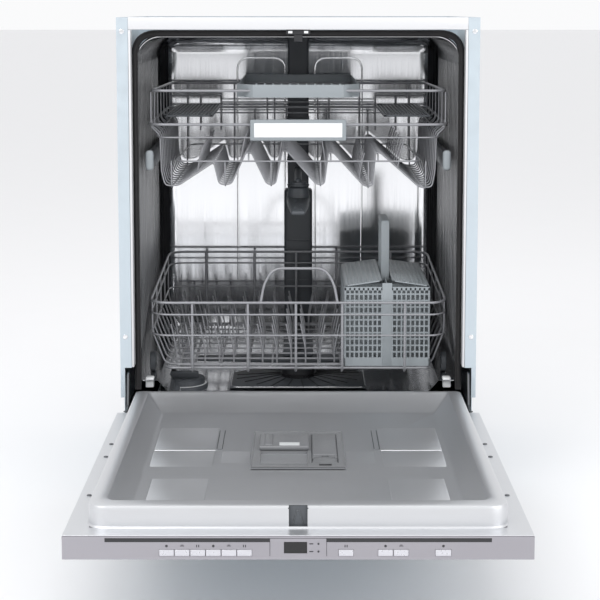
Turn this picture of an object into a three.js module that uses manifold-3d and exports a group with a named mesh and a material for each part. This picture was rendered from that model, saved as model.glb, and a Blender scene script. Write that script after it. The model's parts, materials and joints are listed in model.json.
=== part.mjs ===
// Built-in dishwasher, 60 cm class, shown with its door open and both baskets in.
// Frame: millimetres, +Z up, +X to the right seen from the front, +Y into the cabinet.
// The origin is the centre of the floor area that the machine covers with its door open.

import * as THREE from 'three';
import { mergeVertices } from 'three/addons/utils/BufferGeometryUtils.js';
import Module from 'manifold-3d';

const wasm = await Module();
wasm.setup();

// ---------------------------------------------------------------- driving dimensions

const overallHeight = 820;
const overallWidth = 598;
const cabinetDepth = 550;

const gap = 0.3;                 // between pieces that touch
const runningClearance = 0.5;    // between a shaft and what turns on it
const sheet = 1;                 // folded steel sheet
const moulding = 3;              // moulded plastic wall

const stripWidth = 19;           // front fold of each side panel
const stripFoot = 183;           // height where the front folds end
const hingeSlotWidth = 11.5;     // part of the fold that is cut away for the hinge
const hingeSlotTop = 234;
const topRailHeight = 20;
const frameReturn = 30;          // depth from the front plane to the door gasket

const tubSideGap = 27;           // from the outside of the machine to the inside of the tub
const tubTopGap = 31;
const tubRearGap = 48;
const tubCorner = 40;
const runwayHeight = 203;        // ledge that the lower wheels run on
const ledgeWidth = 32;           // of that ledge, from the tub wall
const wellDepth = 44;            // ledge to the trough of the tub floor
const troughHalf = 205;
const sillDrop = 21;             // ledge to the top of the front sill
const gasketWidth = 14;
const gasketDepth = 11;

const doorInside = 24;           // hinge axis to the inner face of the door
const doorOutside = 7;           // hinge axis to the outer face of the door
const doorGap = 2;               // closed door to the cabinet's front plane
const doorTopGap = 7;
const doorTail = 14;             // door sheet behind the hinge axis
const hingeHeight = 150;
const hingePinRadius = 4;
const hingeNotch = 26;           // strip of door cut away on each side for the hinge
const hingeNotchLength = 36;
const hingeLeverLength = 78;
const hingeArmLength = 190;
const hingeArmThickness = 3;

const ridgeInset = 27;           // door edge to the raised rim of the liner
const ridgeWidth = 23;
const ridgeTopInset = 29;        // front end of the door to the rim
const ridgeCorner = 26;
const basinDepth = 23;
const latchSlotWidth = 24;

const controlDepth = 124;
const controlWall = 2.5;
const buttonHeight = 8.2;
const buttonProud = 1.2;
const buttonLength = 9;
const displayWidth = 29.3;
const displayHeight = 15;

const dispenserWidth = 128;
const dispenserLength = 186;
const dispenserDepth = 22;
const dispenserFrontInset = 278; // front end of the door to the dispenser
const bayWidth = 68;
const bayLength = 62;
const bayDepth = 18;
const lidThickness = 4;
const rinseLidRadius = 18.5;

const wire = 4;
const rimWire = 5;
const wireLap = 2.7;             // crossing wires lie this far apart, centre to centre
const basketFront = 44;
const basketRearGap = 30;        // rear of a basket to the tub's back wall
const basketCorner = 30;
const basketSideGap = 17;        // basket rim to the tub's side wall
const lowerRimHeight = 337;
const lowerMiddleHeight = 280;
const lowerFrameHeight = 219.5;
const lowerFloorHeight = 217;
const lowerFrameSetback = 16;
const lowerFrameInset = 23;
const tineHeight = 62;

const wheelRadius = 17;
const wheelWidth = 9;
const wheelPinRadius = 3;

const cutleryWidth = 147;
const cutleryLength = 240;
const cutleryWallHeight = 137;
const cutleryRoofRise = 10;
const cutleryWall = 2.5;
const cutleryFromWall = 46;      // right side of the cutlery basket to the tub wall
const cutleryHandleHeight = 96;

const upperRimHeight = 698;
const upperMiddleHeight = 640;
const upperFloorHeight = 562;
const upperFloorInset = 45;
const upperTravel = 440;

const railHeight = 30;
const railWidth = 12;
const railWall = 3;
const railCentreHeight = 581;
const railSideGap = 16;
const rollerWidth = 12;

const trayWidth = 207;
const trayDepth = 24;
const handleWidth = 162;
const handleHeight = 36;
const shelfReach = 84;
const shelfLength = 330;
const shelfHeight = 652;

const lowerArmReach = 186;
const armTipClearance = 6;        // a sweeping arm's tip to the tub's mouth
const upperArmHeight = 494;
const armWidth = 34;
const armThickness = 11;
const lowerArmHeight = 205;
const lowerArmTurn = Math.PI * 0.02;

const ductWidth = 55;
const ductUpperWidth = 41;
const ductDepth = 18;
const ductStep = 480;

const riserRadius = 10;          // pipe up the middle of the filter to the lower spray arm
const riserTop = 185;
const filterRadius = 30;
const filterTop = 182;
const filterDepth = 78;
const filterPlateWidth = 244;
const filterPlateFront = 98;     // filter plate in front of and behind the spindle
const filterPlateRear = 66;
const saltCapRadius = 37;
const saltCapRise = 16;
const saltFromWall = 67;
const saltFromFront = 137;
const springFromSide = 26;

const baseHeight = 20;           // floor to the underside of the base tray
const baseWallTop = 146;
const plinthSetback = 60;
const footRadius = 19;
const footStemRadius = 8;
const counterweightHeight = 62;

// ---------------------------------------------------------------- sizes that follow

const halfWidth = overallWidth / 2;
const openingHalf = halfWidth - stripWidth;
const tubHalf = halfWidth - tubSideGap;
const tubCeiling = overallHeight - tubTopGap;
const tubBack = cabinetDepth - tubRearGap;
const hingeY = -(doorInside + doorGap);
const doorReach = overallHeight - doorTopGap - hingeHeight;
const doorFront = hingeY - doorReach;
const frameCentreY = (doorFront - buttonProud + cabinetDepth) / 2;
const gasketY = frameReturn + 2;
const tubFront = gasketY + gasketDepth + gap;
const basketHalf = tubHalf - basketSideGap;
const basketBack = tubBack - basketRearGap;
const railX = tubHalf - railSideGap - railWidth;
const ridgeHalf = halfWidth - ridgeInset - 1;
const ridgeInnerHalf = ridgeHalf - ridgeWidth;
const ridgeFront = -doorReach + ridgeTopInset;
const ridgeBack = -10;
const ridgeTop = runwayHeight - hingeHeight;
const basinFloor = ridgeTop - basinDepth;
const hingeArmX = halfWidth - 14;
const spindleY = (tubFront + tubBack) / 2 - 23;
const upperArmReach = spindleY - tubFront - armTipClearance;
const troughZ = runwayHeight - wellDepth;
const sillFront = frameReturn + 3;
const saltX = -(tubHalf - saltFromWall);
const saltY = tubFront + saltFromFront;

// ---------------------------------------------------------------- finishes

function finish(color, roughness, metalness) {
  return new THREE.MeshStandardMaterial({ color, roughness, metalness });
}

const stainless = finish(0xa9aeb6, 0.28, 1.0);
const galvanised = finish(0xc5d0d8, 0.5, 0.7);
const whiteEnamel = finish(0xededf2, 0.4, 0.1);
const silverPlastic = finish(0xa3a0a6, 0.42, 0.4);
const buttonSilver = finish(0xd0d0d6, 0.35, 0.3);
const blackPlastic = finish(0x26272a, 0.5, 0.0);
const darkGreyPlastic = finish(0x4c5055, 0.5, 0.0);
const greyPlastic = finish(0x8d9499, 0.5, 0.0);
const whitePlastic = finish(0xf2f3f4, 0.45, 0.0);
const smokedLens = finish(0x101214, 0.12, 0.0);
const rubberBlack = finish(0x1a1718, 0.8, 0.0);
const coatedWire = finish(0x9a9ca3, 0.45, 0.2);
const springSteel = finish(0x6d7074, 0.35, 1.0);
const castIron = finish(0x55565a, 0.8, 0.4);

// ---------------------------------------------------------------- solids

function toSolid(geometry) {
  const bare = geometry.clone();
  bare.deleteAttribute('normal');
  bare.deleteAttribute('uv');
  const merged = mergeVertices(bare, 1e-4);
  return new wasm.Manifold(new wasm.Mesh({
    numProp: 3,
    vertProperties: new Float32Array(merged.attributes.position.array),
    triVerts: new Uint32Array(merged.index.array),
  }));
}

function toGeometry(solid) {
  const mesh = solid.getMesh();
  const geometry = new THREE.BufferGeometry();
  geometry.setAttribute('position', new THREE.BufferAttribute(mesh.vertProperties, 3));
  geometry.setIndex(new THREE.BufferAttribute(mesh.triVerts, 1));
  geometry.computeVertexNormals();
  return geometry;
}

function join(...geometries) {
  let result = toSolid(geometries[0]);
  for (const next of geometries.slice(1)) {
    result = result.add(toSolid(next));
  }
  return toGeometry(result);
}

function cut(base, ...tools) {
  let result = toSolid(base);
  for (const tool of tools) {
    result = result.subtract(toSolid(tool));
  }
  return toGeometry(result);
}

function box(x0, x1, y0, y1, z0, z1) {
  const geometry = new THREE.BoxGeometry(x1 - x0, y1 - y0, z1 - z0);
  return geometry.translate((x0 + x1) / 2, (y0 + y1) / 2, (z0 + z1) / 2);
}

// A cylinder along one axis, centred on the point given.
function rod(axis, radius, length, x, y, z, sides = 16) {
  const geometry = new THREE.CylinderGeometry(radius, radius, length, sides);
  if (axis === 'x') {
    geometry.rotateZ(Math.PI / 2);
  }
  if (axis === 'z') {
    geometry.rotateX(Math.PI / 2);
  }
  return geometry.translate(x, y, z);
}

// A profile of [radius, height] points turned about the Z axis.
function turned(points, sides = 20) {
  const profile = points.map(([r, z]) => new THREE.Vector2(r, z));
  return new THREE.LatheGeometry(profile, sides).rotateX(Math.PI / 2);
}

function outline(points) {
  return new THREE.Shape(points.map(([a, b]) => new THREE.Vector2(a, b)));
}

function roundedRectangle(x0, x1, y0, y1, radius, steps = 3) {
  const points = [];
  const corners = [
    [x1 - radius, y1 - radius, 0],
    [x0 + radius, y1 - radius, 1],
    [x0 + radius, y0 + radius, 2],
    [x1 - radius, y0 + radius, 3],
  ];
  for (const [cx, cy, quarter] of corners) {
    for (let step = 0; step <= steps; step += 1) {
      const angle = (quarter + step / steps) * Math.PI / 2;
      points.push([cx + radius * Math.cos(angle), cy + radius * Math.sin(angle)]);
    }
  }
  return outline(points);
}

// The outline of an arch: straight legs and a flat top with round corners.
function arch(half, top, radius, foot, steps = 4) {
  const points = [[-half, foot], [half, foot]];
  for (let step = 0; step <= steps; step += 1) {
    const angle = step / steps * Math.PI / 2;
    points.push([half - radius + radius * Math.cos(angle), top - radius + radius * Math.sin(angle)]);
  }
  for (let step = 0; step <= steps; step += 1) {
    const angle = (1 + step / steps) * Math.PI / 2;
    points.push([-half + radius + radius * Math.cos(angle), top - radius + radius * Math.sin(angle)]);
  }
  return outline(points);
}

function extruded(shape, depth) {
  return new THREE.ExtrudeGeometry(shape, { depth, bevelEnabled: false });
}

// Shape in X and Y, from z0 up to z1.
function slabZ(shape, z0, z1) {
  return extruded(shape, z1 - z0).translate(0, 0, z0);
}

// Shape in X and Z, from y0 back to y1.
function slabY(shape, y0, y1) {
  return extruded(shape, y1 - y0).rotateX(Math.PI / 2).translate(0, y1, 0);
}

// Shape in Y and Z, from x0 to x1.
function slabX(shape, x0, x1) {
  const turn = new THREE.Matrix4().makeBasis(
    new THREE.Vector3(0, 1, 0), new THREE.Vector3(0, 0, 1), new THREE.Vector3(1, 0, 0));
  return extruded(shape, x1 - x0).applyMatrix4(turn).translate(x0, 0, 0);
}

// A square bar between two points, a little longer than their distance so that it joins.
function bar(from, to, width = wire) {
  const start = new THREE.Vector3(...from);
  const end = new THREE.Vector3(...to);
  const direction = end.clone().sub(start);
  const geometry = new THREE.BoxGeometry(width, width, direction.length() + width * 0.5);
  const turn = new THREE.Quaternion().setFromUnitVectors(
    new THREE.Vector3(0, 0, 1), direction.normalize());
  geometry.applyQuaternion(turn);
  return geometry.translate(...start.add(end).multiplyScalar(0.5).toArray());
}

// A flat closed loop of wire with cut corners, at one height.
function wireLoop(half, y0, y1, corner, z, width = rimWire) {
  const ring = (inset) => {
    const cutOff = corner - inset * 0.4;
    const [x, a, b] = [half - inset, y0 + inset, y1 - inset];
    return [
      [x, a + cutOff], [x, b - cutOff], [x - cutOff, b], [-x + cutOff, b],
      [-x, b - cutOff], [-x, a + cutOff], [-x + cutOff, a], [x - cutOff, a],
    ];
  };
  const shape = outline(ring(0));
  shape.holes.push(new THREE.Path(ring(width).map(([a, b]) => new THREE.Vector2(a, b))));
  return slabZ(shape, z - width / 2, z + width / 2);
}

function piece(group, name, geometry, material, x = 0, y = 0, z = 0) {
  const mesh = new THREE.Mesh(geometry, material);
  mesh.name = name;
  mesh.position.set(x, y, z);
  group.add(mesh);
  return mesh;
}

function mirroredX(geometry) {
  const solid = toSolid(geometry).mirror([1, 0, 0]);
  return toGeometry(solid);
}

const sides = [['left', -1], ['right', 1]];

function handed(geometry, side) {
  return side > 0 ? geometry : mirroredX(geometry);
}

// ---------------------------------------------------------------- cabinet and tub

// Side panel with its front fold; drawn for the right side.
function sidePanelShape() {
  const foot = baseHeight + 4;
  const panel = box(halfWidth - sheet, halfWidth, 0, cabinetDepth - sheet - gap, foot, overallHeight);
  const fold = box(openingHalf, halfWidth, 0, sheet, stripFoot, overallHeight);
  const slot = box(openingHalf - 1, openingHalf + hingeSlotWidth, -1, sheet + 1, 0, hingeSlotTop);
  const lowerCut = box(halfWidth - 3 * sheet, halfWidth + 1, -1, plinthSetback - 4, 0, stripFoot);
  return cut(join(panel, fold), slot, lowerCut);
}

function topRailShape() {
  const inset = openingHalf - gap;
  const face = box(-inset, inset, 0, sheet, overallHeight - topRailHeight, overallHeight);
  const top = box(-inset, inset, 0, tubFront - gap, overallHeight - sheet, overallHeight);
  const lip = box(-inset, inset, 0, frameReturn, overallHeight - topRailHeight,
    overallHeight - topRailHeight + sheet);
  return join(face, top, lip);
}

function gasketShape() {
  const outerHalf = openingHalf - 1;
  const outerTop = overallHeight - topRailHeight - 0.5;
  const foot = runwayHeight - sillDrop + 3;
  const ring = slabY(arch(outerHalf, outerTop, tubCorner, foot), gasketY, gasketY + gasketDepth);
  const inside = arch(outerHalf - gasketWidth, outerTop - gasketWidth, tubCorner - 10, foot - 1);
  return cut(ring, slabY(inside, gasketY - 1, gasketY + gasketDepth + 1));
}

function tubWrapperShape() {
  const outer = arch(tubHalf + sheet, tubCeiling + sheet, tubCorner + sheet, runwayHeight - 3);
  const inner = arch(tubHalf, tubCeiling, tubCorner, runwayHeight - 4);
  const shell = slabY(outer, tubFront, tubBack);
  return cut(shell, slabY(inner, tubFront - 1, tubBack + 1));
}

function tubBackShape() {
  return slabY(arch(tubHalf + sheet, tubCeiling + sheet, tubCorner + sheet, runwayHeight - 3),
    tubBack + gap, tubBack + gap + sheet);
}

// Floor pan: a trough between two ledges, closed by a sill in front and a wall behind.
function tubFloorShape() {
  const edge = tubHalf - gap;
  const ledge = tubHalf - ledgeWidth;
  const back = tubBack - gap;
  const upper = [
    [-edge, runwayHeight], [-ledge, runwayHeight], [-troughHalf, troughZ + 3], [0, troughZ],
    [troughHalf, troughZ + 3], [ledge, runwayHeight], [edge, runwayHeight],
  ];
  const lower = upper.map(([x, z]) => [x, z - sheet]).reverse();
  const trough = slabY(outline([...upper, ...lower]), sillFront, back);
  const closure = (top) => outline([
    [-ledge + 1, top], [-troughHalf, troughZ], [0, troughZ - sheet], [troughHalf, troughZ],
    [ledge - 1, top],
  ]);
  const sill = slabY(closure(runwayHeight - sillDrop), sillFront, sillFront + 2 * sheet);
  const rear = slabY(closure(runwayHeight - sheet / 2), back - sheet, back);
  const corners = sides.map(([, side]) => box(
    Math.min(side * (ledge - 18), side * (edge + 1)), Math.max(side * (ledge - 18), side * (edge + 1)),
    sillFront - 1, tubFront, runwayHeight - sillDrop, runwayHeight + 1));
  const outerCorners = sides.map(([, side]) => box(
    Math.min(side * (ledge + 1), side * (edge + 1)), Math.max(side * (ledge + 1), side * (edge + 1)),
    sillFront - 1, tubFront, troughZ, runwayHeight + 1));
  const sumpHole = rod('z', filterRadius + 4, 60, 0, spindleY, troughZ, 24);
  const saltHole = rod('z', saltCapRadius + 5, 60, saltX, saltY, troughZ, 24);
  return cut(join(trough, sill, rear), ...corners, ...outerCorners, sumpHole, saltHole);
}

function rearPanelShape() {
  const y = cabinetDepth;
  const plate = box(-halfWidth, halfWidth, y - sheet, y, baseWallTop + 6, overallHeight);
  const rib = (z) => box(-halfWidth + 30, halfWidth - 30, y - 3 * sheet, y - sheet / 2, z, z + 14);
  return join(plate, rib(overallHeight - 60), rib(overallHeight / 2), rib(baseWallTop + 60));
}

function sprayDuctShape() {
  const y0 = tubBack - ductDepth;
  const y1 = tubBack - gap;
  const half = ductWidth / 2;
  const upper = ductUpperWidth / 2;
  const top = tubCeiling - 1;
  const shape = outline([
    [-half, runwayHeight + 2], [half, runwayHeight + 2], [half, ductStep], [upper, ductStep + 10],
    [upper, top], [-upper, top], [-upper, ductStep + 10], [-half, ductStep],
  ]);
  const body = slabY(shape, y0, y1);
  const port = rod('y', 13, 14, 0, y0 - 4, upperArmHeight + 18, 16);
  const showerHead = turned([[0, top - 12], [24, top - 8], [30, top], [0, top]], 16)
    .translate(0, spindleY, 0);
  const showerPipe = box(-upper * 0.6, upper * 0.6, spindleY, y1, top - 6, top);
  return join(body, port, showerHead, showerPipe);
}

function lockCatchShape() {
  const z = overallHeight - topRailHeight;
  const plate = box(-20, 20, 4, frameReturn - 2, z - gap - 4, z - gap);
  const tongue = box(-7, 7, 6, frameReturn - 6, z - 20, z - gap - 3);
  return join(plate, tongue);
}

// ---------------------------------------------------------------- base and machinery

const baseHalf = halfWidth - sheet - 1;

function baseTrayShape() {
  const back = cabinetDepth - 3;
  const outer = box(-baseHalf, baseHalf, plinthSetback, back, baseHeight, baseWallTop);
  const hollow = box(-baseHalf + moulding, baseHalf - moulding, plinthSetback + moulding,
    back - moulding, baseHeight + moulding, baseWallTop + 1);
  const tray = [];
  for (const [, side] of sides) {
    for (const offset of [-1, 1]) {
      const cheek = offset * (hingeArmThickness / 2 + runningClearance + 2);
      tray.push(slabX(cheekOutline(), side * hingeArmX + cheek - 2, side * hingeArmX + cheek + 2));
    }
    tray.push(rod('x', hingePinRadius, 10, side * hingeArmX, hingeY, hingeHeight, 12));
    tray.push(box(side * hingeArmX - 6, side * hingeArmX + 6, plinthSetback - 12,
      plinthSetback + 12, baseHeight + 30, 92));
    tray.push(rod('z', footStemRadius + 5, 24, side * footX(), frontFootY(), baseHeight + 12, 16));
  }
  tray.push(rod('z', footStemRadius + 5, 24, 0, rearFootY(), baseHeight + 12, 16));
  const ports = [
    rod('y', 11, 16, -baseHalf * 0.62, back + 2 - 8, baseHeight + 42, 16),
    rod('y', 13, 16, -baseHalf * 0.78, back + 2 - 8, baseHeight + 42, 16),
    rod('y', 8, 16, baseHalf * 0.7, back + 2 - 8, baseHeight + 42, 12),
  ];
  const bores = sides.map(([, side]) => rod('z', footStemRadius + runningClearance, 60,
    side * footX(), frontFootY(), baseHeight, 16));
  bores.push(rod('z', footStemRadius + runningClearance, 60, 0, rearFootY(), baseHeight, 16));
  return cut(join(cut(outer, hollow), ...tray, ...ports), ...bores);
}

// Cheek that carries the hinge pin, in Y and Z.
function cheekOutline() {
  const [y, z] = [hingeY, hingeHeight];
  return outline([
    [y - 9, z + 4], [y - 9, z - 6], [y + 4, z - 24], [4, z - 60], [plinthSetback + 8, z - 60],
    [plinthSetback + 8, z - 34], [12, z - 26], [y + 9, z + 6], [y + 4, z + 9], [y - 4, z + 9],
  ]);
}

function footX() {
  return halfWidth - 44;
}

function frontFootY() {
  return plinthSetback + 26;
}

function rearFootY() {
  return cabinetDepth - 60;
}

function footShape() {
  return turned([
    [0, 0], [footRadius - 2, 0], [footRadius, 2], [footRadius, 8], [footStemRadius + 3, 13],
    [footStemRadius, 15], [footStemRadius, baseHeight + 46], [0, baseHeight + 46],
  ], 20);
}

function counterweightShape() {
  const z = baseHeight + moulding + gap;
  const y1 = cabinetDepth - 3 - moulding - 1;
  const low = z + 56;
  const block = box(-baseHalf + 40, baseHalf - 40, y1 - 38, y1, low, low + counterweightHeight);
  const recess = box(-60, 60, y1 - 46, y1 - 24, low - 1, low + 1 + counterweightHeight);
  return cut(block, recess);
}

// A closely wound extension spring with an eye block at each end, along Y.
function springShape() {
  const coils = 16;
  const pitch = 8;
  const profile = [[0, 0]];
  for (let coil = 0; coil < coils; coil += 1) {
    profile.push([7, coil * pitch]);
    profile.push([10, coil * pitch + pitch / 2]);
  }
  profile.push([7, coils * pitch]);
  profile.push([0, coils * pitch]);
  return turned(profile, 10).rotateX(-Math.PI / 2);
}

// Sump bowl with the riser pipe that feeds the lower spray arm, and a duct to the rear.
function sumpShape() {
  const top = troughZ - sheet - 2;
  const low = top - filterDepth;
  const r = filterRadius + 3;
  const bowl = turned([
    [0, low], [r + 2, low], [r + 10, low + 10], [r + 14, top], [r, top], [r, low + 8],
    [riserRadius, low + 8], [riserRadius, riserTop], [0, riserTop],
  ], 24).translate(0, spindleY, 0);
  const duct = box(-22, 22, spindleY + r + 4, tubBack - 20, top - 34, top - 4);
  return join(bowl, duct);
}

function circulationPumpShape() {
  const z = baseHeight + 64;
  return join(
    rod('x', 40, 92, 154, spindleY, z, 20),
    rod('x', 46, 26, 98, spindleY, z, 20),
    rod('x', 16, 22, 76, spindleY, z, 12),
  );
}

function drainPumpShape() {
  const z = baseHeight + 46;
  return join(
    rod('y', 28, 34, 20, spindleY - 98, z, 18),
    rod('y', 20, 50, 20, spindleY - 134, z, 16),
    rod('y', 9, 30, 20, spindleY - 70, z, 12),
  );
}

// Softener tank with the neck that rises to the tub floor and takes the salt cap.
function softenerShape() {
  const top = troughZ - sheet - 3;
  const x1 = saltX + saltCapRadius + 14;
  const x0 = -baseHalf + moulding + springFromSide + 12;
  const tank = box(x0, x1, saltY - 46, saltY + 190, top - 86, top - 12);
  const neck = rod('z', saltCapRadius + 3.5, 40, saltX, saltY, top - 8, 24);
  const mouth = rod('z', saltCapRadius - 3.5, 90, saltX, saltY, top, 24);
  return cut(join(tank, neck), mouth);
}

function saltCapShape() {
  const low = troughZ - sheet - 3 + 12 + gap;
  const top = low + saltCapRise;
  const cap = turned([
    [0, low - 12], [saltCapRadius - 6, low - 12], [saltCapRadius - 6, low],
    [saltCapRadius, low], [saltCapRadius, top - 2], [saltCapRadius - 2, top], [0, top],
  ], 24);
  const grip = box(-6, 6, -saltCapRadius + 4, saltCapRadius - 4, top - 0.5, top + 4);
  return join(cap, grip);
}

function filterPlateShape() {
  const half = filterPlateWidth / 2;
  const front = -filterPlateFront;
  const shape = outline([
    [-half, front], [half, front], [half, 20], [half * 0.6, filterPlateRear],
    [-half * 0.6, filterPlateRear], [-half, 20],
  ]);
  const hole = new THREE.Path();
  hole.absarc(0, 0, filterRadius + runningClearance, 0, Math.PI * 2, true);
  shape.holes.push(hole);
  return slabZ(shape, 0, sheet);
}

// Ring-shaped filter basket that stands round the riser pipe.
function filterCupShape() {
  const bore = riserRadius + 1;
  const low = troughZ - sheet - 2 - filterDepth + 8 + gap;
  const wall = 3;
  return turned([
    [bore, low], [filterRadius - 3, low], [filterRadius, low + 4], [filterRadius, filterTop - 4],
    [filterRadius - 3, filterTop], [filterRadius - 8, filterTop], [filterRadius - 8, low + wall],
    [bore + wall, low + wall], [bore + wall, filterTop - 8], [bore, filterTop - 8], [bore, low],
  ], 24);
}

function sprayArmShape(reach) {
  const half = armThickness / 2;
  const blade = outline([
    [-reach, -10], [-reach + 14, -armWidth / 2 + 4], [-40, -armWidth / 2], [40, -armWidth / 2 + 4],
    [reach - 10, -13], [reach, -4], [reach, 10], [reach - 14, armWidth / 2 - 4],
    [40, armWidth / 2], [-40, armWidth / 2 - 4], [-reach + 10, 13], [-reach, 4],
  ]);
  return slabZ(blade, -half, half);
}

function lowerArmShape() {
  const hub = turned([[0, -19], [14, -19], [14, -7], [26, -5], [26, 6], [18, 9], [0, 9]], 18);
  return join(sprayArmShape(lowerArmReach), hub);
}

function upperArmShape() {
  const hub = turned([[0, -10], [20, -8], [27, -2], [27, 8], [14, 12], [14, 20], [0, 20]], 18);
  return join(sprayArmShape(upperArmReach), hub);
}

// ---------------------------------------------------------------- door, from its hinge axis

const lowFace = -doorOutside;
const doorHalf = halfWidth - 1;

function doorPanSection() {
  const front = -doorReach + controlDepth + gap;
  const top = doorInside - sheet - gap;
  const pan = box(-doorHalf, doorHalf, front, doorTail, lowFace, top);
  const hollow = box(-doorHalf + sheet, doorHalf - sheet, front + sheet, doorTail + 1,
    lowFace + sheet, top + 1);
  const notches = sides.map(([, side]) => box(
    Math.min(side * (halfWidth + 1), side * (halfWidth - hingeNotch)),
    Math.max(side * (halfWidth + 1), side * (halfWidth - hingeNotch)),
    -hingeNotchLength, doorTail + 1, lowFace - 1, top + 1));
  return cut(pan, hollow, ...notches);
}

function doorLinerShape() {
  const back = ridgeBack;
  const flangeShape = outline([
    [-doorHalf, -doorReach + 1], [doorHalf, -doorReach + 1], [doorHalf, -hingeNotchLength],
    [ridgeHalf, -hingeNotchLength], [ridgeHalf, back], [-ridgeHalf, back],
    [-ridgeHalf, -hingeNotchLength], [-doorHalf, -hingeNotchLength],
  ]);
  const flange = slabZ(flangeShape, doorInside - sheet, doorInside);
  const rimOutline = (inset) => roundedRectangle(-ridgeHalf + inset, ridgeHalf - inset,
    ridgeFront + inset, back - inset, ridgeCorner - inset);
  const block = slabZ(rimOutline(0), doorInside - sheet, ridgeTop);
  const basin = slabZ(rimOutline(ridgeWidth), basinFloor, ridgeTop + 1);
  const under = slabZ(rimOutline(sheet), doorInside - sheet - 1, ridgeTop - sheet);
  const floorBlock = slabZ(rimOutline(ridgeWidth - sheet), basinFloor - sheet, ridgeTop);
  const ridge = join(cut(block, under), floorBlock);
  const latchSlot = box(-latchSlotWidth / 2, latchSlotWidth / 2, ridgeFront - 1,
    ridgeFront + ridgeWidth - sheet, doorInside + 3, ridgeTop + 1);
  const window = dispenserBox(runningClearance, basinFloor - 10, basinFloor + 5);
  const body = cut(join(flange, ridge), basin, latchSlot, window);
  return body;
}

function dispenserBox(spare, z0, z1) {
  const front = -doorReach + dispenserFrontInset;
  return box(-dispenserWidth / 2 - spare, dispenserWidth / 2 + spare,
    front - spare, front + dispenserLength + spare, z0, z1);
}

function bayCentreY() {
  return -doorReach + dispenserFrontInset + bayLength / 2 + 14;
}

function dispenserShape() {
  const rimTop = basinFloor + 3;
  const body = dispenserBox(0, basinFloor - dispenserDepth, rimTop);
  const rim = dispenserBox(4, basinFloor + gap, rimTop);
  const bayX = -21;
  const bay = box(bayX - bayWidth / 2, bayX + bayWidth / 2, bayCentreY() - bayLength / 2,
    bayCentreY() + bayLength / 2, rimTop - bayDepth, rimTop + 1);
  const rinse = rod('z', rinseLidRadius + 1, 8, rinseX(), rinseY(), rimTop, 20);
  const tab = box(rinseX() - 5, rinseX() + 5, rinseY() - rinseLidRadius - 9,
    rinseY() + rinseLidRadius + 5, rimTop - 4, rimTop + 1);
  return cut(join(body, rim), bay, rinse, tab);
}

function rinseX() {
  return dispenserWidth / 2 - rinseLidRadius - 6;
}

function rinseY() {
  return -doorReach + dispenserFrontInset + rinseLidRadius + 14;
}

function detergentLidShape() {
  const plate = box(-bayWidth / 2 - 3, bayWidth / 2 + 3, 0, bayLength + 8, 0, lidThickness);
  const grip = box(-bayWidth / 2 + 8, bayWidth / 2 - 8, 4, 8, lidThickness - 0.5, lidThickness + 4);
  return join(plate, grip);
}

function rinseLidShape() {
  const disc = turned([[0, 0], [rinseLidRadius, 0], [rinseLidRadius, 3], [0, 3]], 20);
  const tab = box(-4, 4, -rinseLidRadius - 6, -rinseLidRadius + 5, 0, 3);
  return join(disc, tab);
}

// Control panel: a shallow box open to the rear, with its button row in the front face.
function controlPanelShape() {
  const top = doorInside - sheet - gap;
  const back = -doorReach + controlDepth;
  const shell = box(-doorHalf, doorHalf, -doorReach, back, lowFace, top);
  const hollow = box(-doorHalf + controlWall, doorHalf - controlWall, -doorReach + controlWall,
    back + 1, lowFace + controlWall, top - controlWall);
  const holes = buttonPlaces().map(({ x, width }) => box(x - width / 2 - gap, x + width / 2 + gap,
    -doorReach - 1, -doorReach + controlWall + 1, buttonLow() - gap, buttonLow() + buttonHeight + gap));
  const display = box(displayX() - displayWidth / 2, displayX() + displayWidth / 2,
    -doorReach - 1, -doorReach + controlWall + 1, displayLow(), displayLow() + displayHeight);
  return cut(shell, hollow, ...holes, display);
}

function buttonLow() {
  return lowFace + 4.7;
}

function displayLow() {
  return lowFace + 8;
}

function displayX() {
  return -3.35;
}

// The row of keys: six programme keys, then the option keys and the start key.
function buttonPlaces() {
  const places = [];
  const programmePitch = 19.66;
  for (let index = 0; index < 6; index += 1) {
    places.push({ name: `programme_button_${index + 1}`, x: -166 + index * programmePitch, width: 18.6 });
  }
  places.push({ name: 'half_load_button', x: 60.3, width: 18.6 });
  places.push({ name: 'delay_button', x: 110.1, width: 18.6 });
  places.push({ name: 'extra_dry_button', x: 129.9, width: 18.6 });
  places.push({ name: 'start_button', x: 183, width: 20 });
  return places.map((place) => ({ ...place, x: place.x * overallWidth / 598 }));
}

function buttonShape(width) {
  const cap = box(-width / 2, width / 2, -buttonProud, controlWall + 1, 0, buttonHeight);
  const stem = box(-width / 2 + 3, width / 2 - 3, controlWall, controlWall + buttonLength,
    2, buttonHeight - 2);
  return join(cap, stem);
}

function displayShape() {
  return box(-displayWidth / 2 + gap, displayWidth / 2 - gap, 0.4, controlWall - 0.2,
    gap, displayHeight - gap);
}

// Hinge arm: a flat bar along the door with a lever that rises behind the pivot.
function hingeArmShape() {
  const low = lowFace + sheet + gap + 0.5;
  const high = doorInside - sheet - gap - 1;
  const shape = outline([
    [-hingeArmLength, low], [-20, low], [0, -8], [10, -6], [16, 2], [26, hingeLeverLength - 6],
    [22, hingeLeverLength], [12, hingeLeverLength - 2], [2, 26], [-14, high], [-hingeArmLength, high],
  ]);
  const pivot = new THREE.Path();
  pivot.absarc(0, 0, hingePinRadius + runningClearance, 0, Math.PI * 2, true);
  shape.holes.push(pivot);
  return slabX(shape, -hingeArmThickness / 2, hingeArmThickness / 2);
}

// ---------------------------------------------------------------- lower basket

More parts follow.
